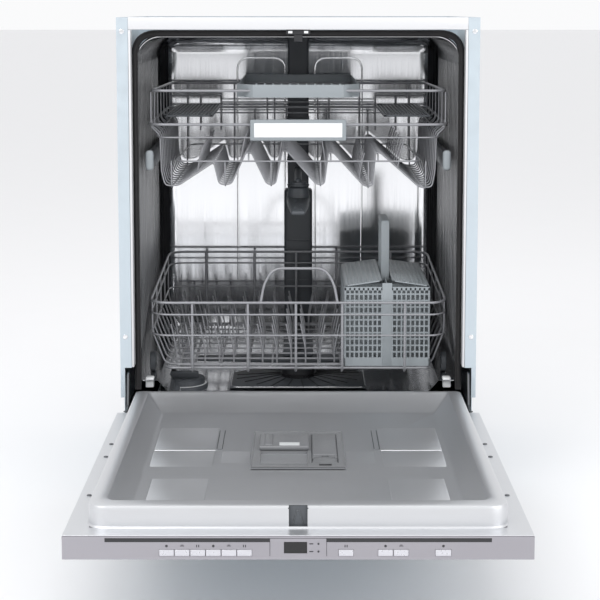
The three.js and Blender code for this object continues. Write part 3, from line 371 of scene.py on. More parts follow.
def front_frame():
    low, high = span("front_top_rail")
    bm = bmesh.new()
    block(bm, (low.x, low.y, low.z), (high.x, low.y + 2.0, high.z), 0.7)
    block(bm, (low.x, low.y + 1.0, high.z - 2.0), (high.x, high.y, high.z), 0.6)
    for side in (-1, 1):
        block(bm, (side * 276.0, low.y, 235), (side * 279.5, low.y + 26, low.z - 0.5), 0.6)
    finished("Front_frame", bm, finishes["white_enamel"], "cabinet", ("front_top_rail",))
    bm = bmesh.new()
    for side in (-1, 1):
        for z in (797.0, 287.0):
            drum(bm, "y", 4.2, 1.8, (side * 290.0, -0.7, z), 24, 0.6)
            block(bm, (side * 290.0 - 3.0, -1.9, z - 0.5), (side * 290.0 + 3.0, -1.5, z + 0.5))
    finished("Side_screws", bm, mirror_steel, "cabinet")


def gasket():
    low, high = span("door_gasket")
    half = high.x - 6.0
    top = high.z - 6.0
    middle = (low.y + high.y) / 2.0
    seal = [(-half, middle, low.z + 4), (-half, middle, top), (half, middle, top), (half, middle, low.z + 4)]
    lip = [(-half + 4, low.y + 2, low.z + 4), (-half + 4, low.y + 2, top - 4),
           (half - 4, low.y + 2, top - 4), (half - 4, low.y + 2, low.z + 4)]
    paths = [(bend(seal, 38, steps=10), False)]
    wires("Door_gasket", paths, 11.0, finishes["rubber_black"], "cabinet",
          ("door_gasket",), sides=4)
    wires("Door_gasket_lip", [(bend(lip, 34, steps=10), False)], 3.6, finishes["rubber_black"],
          "cabinet", sides=3)


def lock_catch():
    low, high = span("lock_catch")
    bm = bmesh.new()
    block(bm, (low.x, low.y, high.z - 8), (high.x, high.y, high.z), 1.2, 3)
    block(bm, (-7, low.y + 2, low.z), (7, high.y - 4, high.z - 7), 1.0, 3)
    finished("Lock_catch", bm, finishes["black_plastic"], "cabinet", ("lock_catch",))
    bm = bmesh.new()
    for x in (-13.0, 13.0):
        block(bm, (x - 3.5, low.y - 0.6, high.z - 6), (x + 3.5, low.y + 1.5, high.z - 2), 0.5)
    finished("Lock_catch_bits", bm, finishes["white_plastic"], "cabinet")


def spray_duct():
    low, high = span("spray_duct")
    bm = bmesh.new()
    block(bm, (-20.5, high.y - 16, 480), (20.5, high.y - 2, high.z - 2), 5, 4)
    block(bm, (-27.5, high.y - 18, low.z + 6), (27.5, high.y - 2, 482), 6, 4)
    block(bm, (-27.5, low.y, low.z), (27.5, high.y - 6, low.z + 9), 3.5, 3)
    for z in (300, 380, 460, 540, 620, 700):
        block(bm, (-22, high.y - 19.5, z), (22, high.y - 15, z + 3.5), 1.0)
    finished("Spray_duct", bm, finishes["dark_grey_plastic"], "cabinet",
             ("spray_duct",))


def filter_parts():
    low, high = span("filter_plate")
    rays = []
    for k in range(26):
        a = math.radians(-165 + k * 13.2)
        start = (34 * math.cos(a), high.y - 35 + 34 * math.sin(a), high.z + 0.4)
        reach = min(abs(112 / (math.cos(a) + 1e-6)), 128)
        y = max(min(high.y - 35 + reach * math.sin(a), high.y - 6), low.y + 6)
        rays.append(([start, (reach * math.cos(a), y, high.z + 0.4)], False))
    wires("Filter_plate_ribs", rays, 1.8, finishes["black_plastic"], "cabinet")
    corners = [(low.x + 2, low.y + 2, high.z), (high.x - 2, low.y + 2, high.z),
               (high.x - 2, high.y - 2, high.z), (low.x + 2, high.y - 2, high.z)]
    wires("Filter_plate_border", [(bend(corners, (16, 16, 5, 5), True), True)], 2.4, mirror_steel,
          "cabinet")
    low, high = span("filter_cup")
    centre = axis_of(low, high)
    radius = (high.x - low.x) / 2
    bm = bmesh.new()
    top = high.z
    lathe(bm, centre, [(0.01, low.z), (radius - 4, low.z), (radius - 3, low.z + 3), (radius - 3, top - 14),
                       (radius, top - 12), (radius, top - 1), (radius - 1, top), (radius - 4, top),
                       (radius - 4, top - 8), (0.01, top - 8)])
    rim_ribs(bm, centre, 30, radius - 3.4, radius - 1.6, 0.9, low.z + 4, top - 13)
    block(bm, (centre[0] - radius + 5, centre[1] - 2.5, top - 8),
          (centre[0] + radius - 5, centre[1] + 2.5, top - 1), 1)
    finished("Filter_cup", bm, finishes["black_plastic"], "filter_cup", ("filter_cup",))


def salt_cap():
    low, high = span("salt_cap")
    centre = axis_of(low, high)
    radius = (high.x - low.x) / 2
    top = high.z
    bm = bmesh.new()
    lathe(bm, centre, [(0.01, low.z), (radius - 3, low.z), (radius, low.z + 3), (radius, top - 12),
                       (radius - 2, top - 10), (radius - 9, top - 9), (radius - 12, top - 11),
                       (0.01, top - 11)])
    rim_ribs(bm, centre, 36, radius - 1.2, radius, 1.1, low.z + 4, top - 13)
    block(bm, (centre[0] - radius + 11, centre[1] - 5, top - 12),
          (centre[0] + radius - 11, centre[1] + 5, top), 2, 3)
    finished("Salt_cap", bm, finishes["dark_grey_plastic"], "salt_cap", ("salt_cap",))


def floor_fittings():
    """Collar of the salt opening, seal along the sill and the blocks at its two ends."""
    low, high = span("salt_cap")
    centre = axis_of(low, high)
    bm = bmesh.new()
    lathe(bm, centre, [(30.0, low.z - 8), (41.5, low.z - 8), (42.5, low.z - 6), (42.5, low.z + 9),
                       (41.0, low.z + 11), (36.5, low.z + 11), (36.5, low.z - 6), (30.0, low.z - 8)])
    finished("Salt_collar", bm, finishes["dark_grey_plastic"], "cabinet")
    bm = bmesh.new()
    block(bm, (-270, 28.5, 150), (270, 36, 184), 2.4, 4)
    finished("Sill_seal", bm, finishes["rubber_black"], "cabinet")
    bm = bmesh.new()
    for side in (-1, 1):
        block(bm, (side * 248.0, 50, 188), (side * 262.0, 66, 206), 2.0, 3)
    finished("Tub_corner_blocks", bm, finishes["white_plastic"], "cabinet")


def spray_arm(node, name, hub_radius, blade, material):
    """A tapering blade with a raised hub and a row of jets; it turns with its own body."""
    low, high = span(node)
    x = (low.x + high.x) / 2
    y = (low.y + high.y) / 2
    half = max(high.x - low.x, high.y - low.y) / 2
    lengthwise = high.y - low.y > high.x - low.x
    z0 = high.z - 18 if node == "lower_spray_arm" else low.z + 6
    bm = bmesh.new()
    size = Vector((2 * half - 2, blade, 11)) * MM
    place = Matrix.Translation(at(x, y, z0)) @ Matrix.Diagonal((*size, 1.0))
    bmesh.ops.create_cube(bm, size=1.0, matrix=place)
    for k in range(1, 14):
        cut = at(x - half + k * half / 7.0, y, z0)
        bmesh.ops.bisect_plane(bm, geom=bm.verts[:] + bm.edges[:] + bm.faces[:], plane_co=cut,
                               plane_no=(1.0, 0.0, 0.0))
    centre = at(x, y, z0)
    for v in bm.verts:
        away = min(abs(v.co.x - centre.x) / (half * MM), 1.0)
        v.co.y = centre.y + (v.co.y - centre.y) * (1.0 - 0.42 * away ** 2)
        v.co.z = centre.z + (v.co.z - centre.z) * (1.0 - 0.38 * away)
    sharp = [e for e in bm.edges if e.calc_face_angle(0.0) > 0.6]
    bmesh.ops.bevel(bm, geom=sharp, offset=3.2 * MM, segments=3, profile=0.5, affect="EDGES", material=-1)
    for k, share in enumerate((-0.9, -0.74, -0.55, -0.36, 0.32, 0.5, 0.7, 0.88)):
        offset = 5.0 if k % 2 else -4.0
        drum(bm, "z", 3.2, 3.0, (x + share * half, y + offset, z0 + 5.0 - 1.8 * abs(share)), 16, 0.6, 2.2)
    if lengthwise:
        bmesh.ops.rotate(bm, cent=centre, matrix=Matrix.Rotation(math.pi / 2.0, 3, "Z"), verts=bm.verts)
    lathe(bm, (x, y, 0), [(0.01, low.z), (hub_radius - 3, low.z), (hub_radius, low.z + 3),
                          (hub_radius, z0), (hub_radius - 4, high.z - 3), (hub_radius - 8, high.z),
                          (0.01, high.z)], 40)
    finished(name, bm, material, node, (node,))


def supply_pipe():
    """Pipe along the upper basket, from near the duct and down into the spray arm's hub."""
    low, high = span("upper_spray_arm")
    y = (low.y + high.y) / 2
    z = high.z + 9.0
    path = bend([(0, y, high.z + 1.5), (0, y, z), (0, TUB_BACK - 32, z)], 7)
    wires("Supply_pipe", [(path, False)], 13.0, finishes["dark_grey_plastic"], "upper_basket",
          sides=3)
    bm = bmesh.new()
    drum(bm, "y", 9.0, 10.0, (0, TUB_BACK - 38, z), 32, 1.2)
    for radius, height in ((20.0, 3.0), (15.0, 7.0)):
        drum(bm, "z", radius, height, (0, y, high.z + 1.2 + height / 2), 40, 0.8)
    finished("Supply_pipe_hub", bm, finishes["dark_grey_plastic"], "upper_basket")


def side_panels():
    for label, side in (("left", -1), ("right", 1)):
        node = "side_panel_" + label
        low, high = span(node)
        face = low.x if side < 0 else high.x
        bm = bmesh.new()
        for z in (300.0, 460.0, 620.0):
            block(bm, (face - side * 0.4, 70, z), (face + side * 0.6, high.y - 40, z + 22), 0.35, 2)
        for z in (120.0, 740.0):
            for y in (60.0, 300.0, high.y - 30):
                drum(bm, "x", 4.0, 1.2, (face, y, z), 20, 0.4)
        finished("Side_pressings_" + label, bm, finishes["galvanised"], "cabinet")


def rear_details():
    back = span("rear_panel")[1].y
    bm = bmesh.new()
    for z in (260.0, 380.0, 500.0, 620.0, 720.0):
        block(bm, (-230, back - 0.8, z), (230, back + 0.2, z + 26), 0.45, 2)
    for x in (-280.0, 0.0, 280.0):
        for z in (180.0, 800.0):
            drum(bm, "y", 4.0, 1.4, (x, back - 0.2, z), 20, 0.4)
    finished("Rear_pressings", bm, finishes["galvanised"], "cabinet")


tub()
tub_cover()
front_frame()
gasket()
lock_catch()
spray_duct()
filter_parts()
salt_cap()
floor_fittings()
spray_arm("lower_spray_arm", "Lower_spray_arm", 23, 40, finishes["dark_grey_plastic"])
spray_arm("upper_spray_arm", "Upper_spray_arm", 22, 40, finishes["dark_grey_plastic"])
supply_pipe()
side_panels()
rear_details()


# ------------------------------------------------------------------ door

def ring(bm, half, y0, y1, z, radius):
    """A closed rectangle of edges, well rounded in front and nearly square at the hinge."""
    square = max(radius * 0.28, 3.0)
    points = bend([(-half, y0, z), (half, y0, z), (half, y1, z), (-half, y1, z)],
                  (radius, radius, square, square), True, 9)
    verts = [bm.verts.new(at(*p)) for p in points]
    return [bm.edges.new((verts[i - 1], verts[i])) for i in range(len(verts))]


BASIN_DEPTH = 23.0
BASIN_HALF = 224.5
STEP_DROP = 4.0
LATCH_HALF = 12.0


def door_liner():
    """Flat flange with a raised ridge round a sloping basin, whose front part steps down."""
    low, high = span("door_inner_liner")
    front = low.y + 29.0
    rear = -36.0
    top = high.z
    flange = low.z
    floor = top - BASIN_DEPTH
    bm = bmesh.new()
    rings = [
        ring(bm, 272.5, front - 1.5, rear + 1.5, flange + 0.6, 29),
        ring(bm, 271.0, front, rear, flange + 3.0, 28),
        ring(bm, 270.6, front + 0.4, rear - 0.4, top - 4.5, 28),
        ring(bm, 269.2, front + 1.8, rear - 1.0, top - 1.2, 27),
        ring(bm, 266.5, front + 4.5, rear - 2.0, top, 25),
        ring(bm, 251.5, front + 25.0, rear - 5.0, top, 19),
        ring(bm, 248.0, front + 28.5, rear - 8.0, top - 1.4, 17),
        ring(bm, 245.5, front + 31.0, rear - 14.0, top - 5.0, 16),
        ring(bm, 224.0, front + 47.0, rear - 58.0, floor + 2.6, 12),
        ring(bm, 219.0, front + 52.0, rear - 66.0, floor, 10),
    ]
    for outer, inner in zip(rings, rings[1:]):
        bmesh.ops.bridge_loops(bm, edges=outer + inner)
    bmesh.ops.contextual_create(bm, geom=rings[-1])
    for y in (-410.0, -437.0):
        bmesh.ops.bisect_plane(bm, geom=bm.verts[:] + bm.edges[:] + bm.faces[:],
                               plane_co=at(0, y, 0), plane_no=(0.0, 1.0, 0.0))
    step_y = at(0, -430.0, 0).y
    for v in bm.verts:
        if v.co.y < step_y and v.co.z < (floor + 3.0) * MM and abs(v.co.x) < BASIN_HALF * MM:
            v.co.z -= STEP_DROP * MM
    for x in (-LATCH_HALF, LATCH_HALF):
        bmesh.ops.bisect_plane(bm, geom=bm.verts[:] + bm.edges[:] + bm.faces[:],
                               plane_co=at(x, 0, 0), plane_no=(1.0, 0.0, 0.0))
    pocket = []
    for face in bm.faces:
        middle = face.calc_center_median()
        in_front = middle.y < at(0, front + 4.6, 0).y
        if abs(middle.x) < (LATCH_HALF - 0.1) * MM and in_front and middle.z > (flange + 2.9) * MM:
            pocket.append(face)
    bmesh.ops.delete(bm, geom=pocket, context="FACES")
    block(bm, (low.x, low.y + 0.5, flange - 0.2), (-268, high.y - 30, flange + 0.8), 0.3, 1)
    block(bm, (268, low.y + 0.5, flange - 0.2), (high.x, high.y - 30, flange + 0.8), 0.3, 1)
    block(bm, (-268.5, low.y + 0.5, flange - 0.2), (268.5, front + 3, flange + 0.8), 0.3, 1)
    finished("Door_liner", bm, liner_steel, "door", ("door_inner_liner",), 28)
    bm = bmesh.new()
    for side in (-1, 1):
        tilt = turned((0, -330, floor), 0.022, "X")
        block(bm, (side * 214.0, -408, floor - 1.0), (side * 123.0, -326, floor + 1.6), 1.2, 3, tilt)
        block(bm, (side * 214.0, -318, floor - 1.0), (side * 123.0, -190, floor + 0.9), 0.8, 3)
        block(bm, (side * 112.0, -408, floor - 1.0), (side * 70.0, -326, floor + 1.2), 0.9, 3, tilt)
        block(bm, (side * 205.0, -600, floor - 5.0), (side * 126.0, -452, floor - 2.6), 1.1, 3)
    for k in range(5):
        x = -84.0 + k * 42.0
        block(bm, (x - 14, -600, floor - 5.0), (x + 14, -590, floor - 2.8), 1.0, 3)
    finished("Door_liner_beads", bm, liner_steel, "door")
    slots = []
    for side in (-1, 1):
        x = side * 117.5
        points = [(x - 4, -205, floor + 0.3), (x - 4, -312, floor + 0.3), (x + 4, -312, floor + 0.3),
                  (x + 4, -205, floor + 0.3)]
        slots.append((bend(points, 4), False))
    wires("Door_liner_slots", slots, 1.3, finishes["spring_steel"], "door")
    bm = bmesh.new()
    for side in (-1, 1):
        for y in (-520.0, -330.0, -260.0, -60.0):
            drum(bm, "z", 3.4, 1.6, (side * 285.0, y, flange + 1.2), 20, 0.5)
            block(bm, (side * 285.0 - 2.4, y - 0.4, flange + 1.9),
                  (side * 285.0 + 2.4, y + 0.4, flange + 2.3))
    finished("Door_flange_screws", bm, finishes["spring_steel"], "door")
    bm = bmesh.new()
    block(bm, (-13, front + 5.0, flange + 2.0), (13, front + 6.0, top - 0.6))
    block(bm, (-13, front + 0.6, flange + 2.0), (13, front + 6.0, flange + 3.0))
    block(bm, (-13, front + 0.6, flange + 2.0), (-12, front + 6.0, top - 2.4))
    block(bm, (12, front + 0.6, flange + 2.0), (13, front + 6.0, top - 2.4))
    finished("Door_latch_mouth", bm, finishes["dark_grey_plastic"], "door")
    y = front + 4.8
    wedge = bend([(-7.0, y, flange + 4), (-2.0, y, top - 7), (2.0, y, top - 7), (7.0, y, flange + 4)], 2.0)
    wires("Door_latch_edges", [(wedge, False)], 1.2, finishes["spring_steel"], "door")


def dispenser():
    low, high = span("dispenser_housing")
    bm = bmesh.new()
    rim = 2.2
    top = high.z + 0.7
    for x0, x1, y0, y1 in ((low.x, low.x + rim, low.y, high.y), (high.x - rim, high.x, low.y, high.y),
                           (low.x, high.x, low.y, low.y + rim), (low.x, high.x, high.y - rim, high.y)):
        block(bm, (x0, y0, top - 2.0), (x1, y1, top), 0.7, 2)
    block(bm, (21.5, -352, top - 1.6), (56.5, -236, top + 0.3), 0.8, 3)
    block(bm, (14.5, low.y + 2, top - 2.0), (16.5, high.y - 2, top + 0.1), 0.4, 1)
    finished("Dispenser_rim", bm, dispenser_grey, "door")
    # Thin black strips laid along the dispenser's gaps: painted shade in the gaps.
    bm = bmesh.new()
    for x in (19.6, 57.2):
        block(bm, (x, -392, top - 0.8), (x + 0.9, -240, top + 0.1))
    block(bm, (30, -406, top - 0.7), (48, -401, top + 0.15))
    finished("Dispenser_gap_shade", bm, finishes["black_plastic"], "door")
    low, high = span("detergent_lid")
    bm = bmesh.new()
    block(bm, (low.x, low.y, low.z), (high.x, high.y, high.z - 1.6), 2.2, 4)
    block(bm, (low.x + 8, low.y + 4, high.z - 2.6), (low.x + 20, high.y - 4, high.z), 1.4, 3)
    finished("Detergent_lid", bm, dispenser_grey, "detergent_lid",
             ("detergent_lid",))
    bm = bmesh.new()
    block(bm, (low.x + 30, low.y + 5, high.z - 2.2), (high.x - 14, low.y + 22, high.z - 1.3), 0.3, 2)
    finished("Detergent_lid_plate", bm, label_grey, "detergent_lid")
    low, high = span("rinse_aid_lid")
    bm = bmesh.new()
    block(bm, (low.x, low.y, low.z), (high.x, high.y, high.z), 1.2, 3)
    block(bm, (low.x + 11, low.y + 1.5, high.z - 0.8), (high.x - 11, low.y + 8, high.z + 1.4), 0.8, 2)
    finished("Rinse_aid_lid", bm, dispenser_grey, "rinse_aid_lid",
             ("rinse_aid_lid",))


def controls():
    face = span("control_panel")[0].y
    skin = 0.35
    bm = bmesh.new()
    for x0, x1 in ((-244.0, -36.0), (35.5, 244.0)):
        block(bm, (x0, face - skin, 165.7), (x1, face + 0.4, 170.8), 0.15, 1)
    for x in (-35.9, 35.6):
        block(bm, (x, face - skin, 147.5), (x + 0.5, face + 0.4, 170.8))
    block(bm, (-35.6, face - skin, 170.4), (35.8, face + 0.4, 170.8))
    finished("Control_strip", bm, finishes["black_plastic"], "door")
    bm = bmesh.new()
    for k, node in enumerate(buttons):
        key_low, key_high = span(node)
        x = (key_low.x + key_high.x) / 2
        drum(bm, "y", 0.8, 0.5, (x, face - skin - 0.1, 168.2), 12)
        z = 160.6
        if k % 3 == 0:
            drum(bm, "y", 1.7, 0.3, (x, face - 0.05, z), 20)
        elif k % 3 == 1:
            block(bm, (x - 2.6, face - 0.2, z - 0.4), (x + 2.6, face + 0.1, z + 0.4))
            block(bm, (x - 1.6, face - 0.2, z + 1.0), (x + 1.6, face + 0.1, z + 1.7))
        else:
            block(bm, (x - 1.9, face - 0.2, z - 1.6), (x - 0.7, face + 0.1, z + 1.6))
            block(bm, (x + 0.7, face - 0.2, z - 1.6), (x + 1.9, face + 0.1, z + 1.6))
    for z in (163.5, 153.5):
        block(bm, (14.0, face - skin - 0.2, z - 0.5), (19.0, face - skin + 0.1, z + 0.5))
        drum(bm, "y", 1.3, 0.3, (25.5, face - skin - 0.1, z), 16)
    finished("Control_icons", bm, icon_dark, "door")
    for node in buttons:
        key_low, key_high = span(node)
        bm = bmesh.new()
        block(bm, key_low, key_high, 0.9, 3)
        finished(node.title() + "_key", bm, finishes["button_silver"], node, (node,))


buttons = [n for n in sorted(frame["nodes"]) if "_button" in n]
door_liner()
dispenser()
controls()


# ------------------------------------------------------------------ lower basket

WIRE = finishes["coated_wire"]
basket_low, basket_high = span("lower_basket")
FRONT = basket_low.y + 2.0
BACK = basket_high.y - 2.0
HALF = 252.5
FRAME_HALF = 230.0
RIM = basket_high.z - 3.0


def lower_basket():
    thick = [loop(HALF, FRONT, BACK, 34, RIM, RIM + 24)]
    thick.append(loop(FRAME_HALF, FRONT + 16, BACK - 14, 20, 220))
    thick.append(loop(FRAME_HALF - 9, FRONT + 38, BACK - 30, 20, 221))
    grip = [(-64, FRONT, RIM), (-58, FRONT, RIM + 34), (-42, FRONT + 2, RIM + 59), (45, FRONT + 2, RIM + 59),
            (61, FRONT, RIM + 34), (67, FRONT, RIM)]
    thick.append((bend(grip, 22), False))
    for x in (-181.0, -86.0, -4.0, 75.0, 182.0):
        points = [(x, FRONT + 1, RIM), (x, FRONT + 1, 217), (x, BACK - 1, 217), (x, BACK - 1, RIM + 24)]
        thick.append((bend(points, 9), False))
    wires("Lower_basket_frame", thick, 4.6, WIRE, "lower_basket", ("lower_basket",), 3)
    thin = [loop(HALF, FRONT, BACK, 34, RIM - 20.5, RIM + 2)]
    thin.append(loop(HALF, FRONT, BACK, 34, 280, 292))
    for x in (-206.0, -134.0, -45.0, 35.0, 128.0, 206.0):
        points = [(x, FRONT + 16, 220), (x, BACK - 16, 220), (x, BACK - 1, 242), (x, BACK - 1, 291)]
        thin.append((bend(points, 10), False))
    count = 9
    for k in range(count):
        y = FRONT + 40 + k * (BACK - FRONT - 80) / (count - 1)
        lift = 24.0 * (y - FRONT) / (BACK - FRONT)
        points = [(-HALF, y, RIM + lift), (-HALF, y, 280), (-FRAME_HALF, y, 222), (FRAME_HALF, y, 222),
                  (HALF, y, 280), (HALF, y, RIM + lift)]
        if k % 2:
            points = points[1:5]
        thin.append((bend(points, 12), False))
    wires("Lower_basket_wires", thin, 3.4, WIRE, "lower_basket")
    tines = []
    for row, y in enumerate((96.0, 168.0, 240.0, 312.0, 372.0, 428.0)):
        pitch = 25.0 if row < 4 else 29.0
        x = -212.0
        while x < 222.0:
            beside = 66.0 < x < 238.0 and 50.0 < y < 312.0
            if not beside:
                lean = -9.0 if x < 20 else 9.0
                points = [(x, y, 219), (x, y, 245), (x + lean, y, 290)]
                tines.append((bend(points, 10, steps=3), False))
            x += pitch
    wires("Lower_basket_tines", tines, 3.0, WIRE, "lower_basket", sides=1)
    for end in ("front", "rear"):
        for label in ("left", "right"):
            node = "lower_wheel_" + end + "_" + label
            low, high = span(node)
            centre = ((low.x + high.x) / 2, (low.y + high.y) / 2, (low.z + high.z) / 2)
            radius = (high.z - low.z) / 2
            bm = bmesh.new()
            rounds = 40
            middle = at(*centre)
            half = (high.x - low.x) / 2
            profile = [(radius - 4, -half), (radius - 0.8, -half), (radius, -half + 1), (radius, half - 1),
                       (radius - 0.8, half), (radius - 4, half), (radius - 4, -half)]
            verts = [bm.verts.new(middle + Vector((x, 0.0, r)) * MM) for r, x in profile]
            edges = [bm.edges.new(pair) for pair in zip(verts, verts[1:])]
            bmesh.ops.spin(bm, geom=verts + edges, cent=middle, axis=(1.0, 0.0, 0.0), angle=2 * math.pi,
                           steps=rounds, use_merge=True)
            drum(bm, "x", 5.2, 2 * half, centre, 24, 0.6)
            for k in range(5):
                turn = turned(centre, k * 2 * math.pi / 5, "X")
                low_corner = (centre[0] - half * 0.5, centre[1] - 1.4, centre[2] + 4)
                high_corner = (centre[0] + half * 0.5, centre[1] + 1.4, centre[2] + radius - 3)
                block(bm, low_corner, high_corner, 0.4, 1, turn)
            finished(node.title(), bm, finishes["dark_grey_plastic"], node, (node,))


def lattice(bm, across, along, low, high, columns, rows, bar, depth):
    """A wall of crossing slats: across is the wall's place, along the axis it runs on."""
    a0, a1, z0, z1 = low[0], high[0], low[1], high[1]
    for k in range(columns + 1):
        a = a0 + k * (a1 - a0) / columns
        first = (a - bar / 2, across, z0) if along == "x" else (across, a - bar / 2, z0)
        last = (a + bar / 2, across + depth, z1) if along == "x" else (across + depth, a + bar / 2, z1)
        block(bm, first, last)
    for k in range(rows + 1):
        z = z0 + k * (z1 - z0) / rows
        first = (a0, across + 0.1, z - bar / 2) if along == "x" else (across + 0.1, a0, z - bar / 2)
        far = across + depth - 0.1
        last = (a1, far, z + bar / 2) if along == "x" else (far, a1, z + bar / 2)
        block(bm, first, last)


def cutlery_basket():
    low, high = span("cutlery_basket")
    x0, x1, y0, y1 = low.x, high.x, low.y, high.y
    wall_top = span("cutlery_lid_left")[0].z - 1.5
    middle = (x0 + x1) / 2
    bm = bmesh.new()
    depth = 2.2
    for y in (y0, y1 - depth):
        lattice(bm, y, "x", (x0 + 2, low.z + 14), (middle - 9, wall_top), 8, 11, 2.6, depth)
        lattice(bm, y, "x", (middle + 9, low.z + 14), (x1 - 2, wall_top), 8, 11, 2.6, depth)
        block(bm, (x0, y, low.z), (x1, y + depth, low.z + 14), 0.5, 1)
        block(bm, (middle - 8.5, y - 0.3, low.z), (middle + 8.5, y + depth + 0.3, wall_top + 8), 0.7, 2)
        block(bm, (x0, y, wall_top - 5), (x1, y + depth, wall_top), 0.5, 1)
    for x in (x0, x1 - depth):
        lattice(bm, x, "y", (y0 + 2, low.z + 14), (y1 - 2, wall_top), 26, 11, 2.6, depth)
        block(bm, (x, y0, low.z), (x + depth, y1, low.z + 14), 0.5, 1)
        block(bm, (x, y0, wall_top - 5), (x + depth, y1, wall_top), 0.5, 1)
    block(bm, (middle - 1.2, y0 + 2, low.z + 4), (middle + 1.2, y1 - 2, wall_top + 6), 0.4, 1)
    for k in range(1, 4):
        y = y0 + k * (y1 - y0) / 4
        block(bm, (x0 + 2, y - 0.8, low.z + 3), (x1 - 2, y + 0.8, wall_top - 3))
    columns = 14
    for k in range(columns + 1):
        x = x0 + 1.5 + k * (x1 - x0 - 3) / columns
        block(bm, (x - 1.4, y0 + 1, low.z), (x + 1.4, y1 - 1, low.z + 2.4))
    for k in range(21):
        y = y0 + 2 + k * (y1 - y0 - 4) / 20
        block(bm, (x0 + 1, y - 1.3, low.z + 0.2), (x1 - 1, y + 1.3, low.z + 2.2))
    finished("Cutlery_basket", bm, finishes["grey_plastic"], "lower_basket",
             ("cutlery_basket",))
    bm = bmesh.new()
    centre_y = (y0 + y1) / 2
    top = high.z
    for y in (centre_y - 46, centre_y + 40):
        block(bm, (middle - 7.5, y, wall_top), (middle + 7.5, y + 6, top - 4), 1.6, 3)
    block(bm, (middle - 7.5, centre_y - 46, top - 9), (middle + 7.5, centre_y + 46, top), 3.2, 4)
    finished("Cutlery_handle", bm, finishes["grey_plastic"], "lower_basket")
    for label, side in (("left", -1), ("right", 1)):
        node = "cutlery_lid_" + label
        lid_low, lid_high = span(node)
        inner_x = lid_high.x if side < 0 else lid_low.x
        outer_x = lid_low.x if side < 0 else lid_high.x
        slope = math.atan2(lid_high.z - lid_low.z - 2.5, abs(outer_x - inner_x))
        turn = turned((inner_x, 0, lid_high.z - 2.2), side * slope, "Y")
        bm = bmesh.new()
        z1 = lid_high.z - 0.2
        z0 = z1 - 2.0
        ends = sorted((inner_x, outer_x))
        for y in (lid_low.y, lid_high.y - 5):
            block(bm, (ends[0], y, z0), (ends[1], y + 5, z1), 0.4, 1, turn)
        for x in (ends[0], ends[1] - 5):
            block(bm, (x, lid_low.y, z0), (x + 5, lid_high.y, z1), 0.4, 1, turn)
        for k in range(1, 8):
            x = ends[0] + k * (ends[1] - ends[0]) / 8
            block(bm, (x - 1.5, lid_low.y + 3, z0 + 0.2), (x + 1.5, lid_high.y - 3, z1 - 0.2), turn=turn)
        for k in range(1, 40):
            y = lid_low.y + k * (lid_high.y - lid_low.y) / 40
            block(bm, (ends[0] + 3, y - 1.1, z0 + 0.3), (ends[1] - 3, y + 1.1, z1 - 0.3), turn=turn)
        finished(node.title(), bm, finishes["grey_plastic"], node, (node,))


lower_basket()
cutlery_basket()


# ------------------------------------------------------------------ upper basket

UPPER_TOP = span("upper_basket")[1].z - 3.0
# The floor's troughs and ridges from left to right, as places across and heights.
ZIGZAG = ((-226, 536), (-204, 536), (-143, 576), (-134, 538), (-114, 538), (-89, 592), (-79, 592),
          (-53, 538), (-39, 538), (-27, 595), (-19, 595), (31, 538), (44, 538), (51, 592), (60, 592),
          (112, 535), (126, 535), (131, 592), (139, 592), (206, 533), (227, 533))


def floor_height(x):
    """The zigzag floor's height at one place across the basket."""
    for (x0, z0), (x1, z1) in zip(ZIGZAG, ZIGZAG[1:]):
        if x0 <= x <= x1:
            return z0 + (z1 - z0) * (x - x0) / (x1 - x0)
    return 562.0


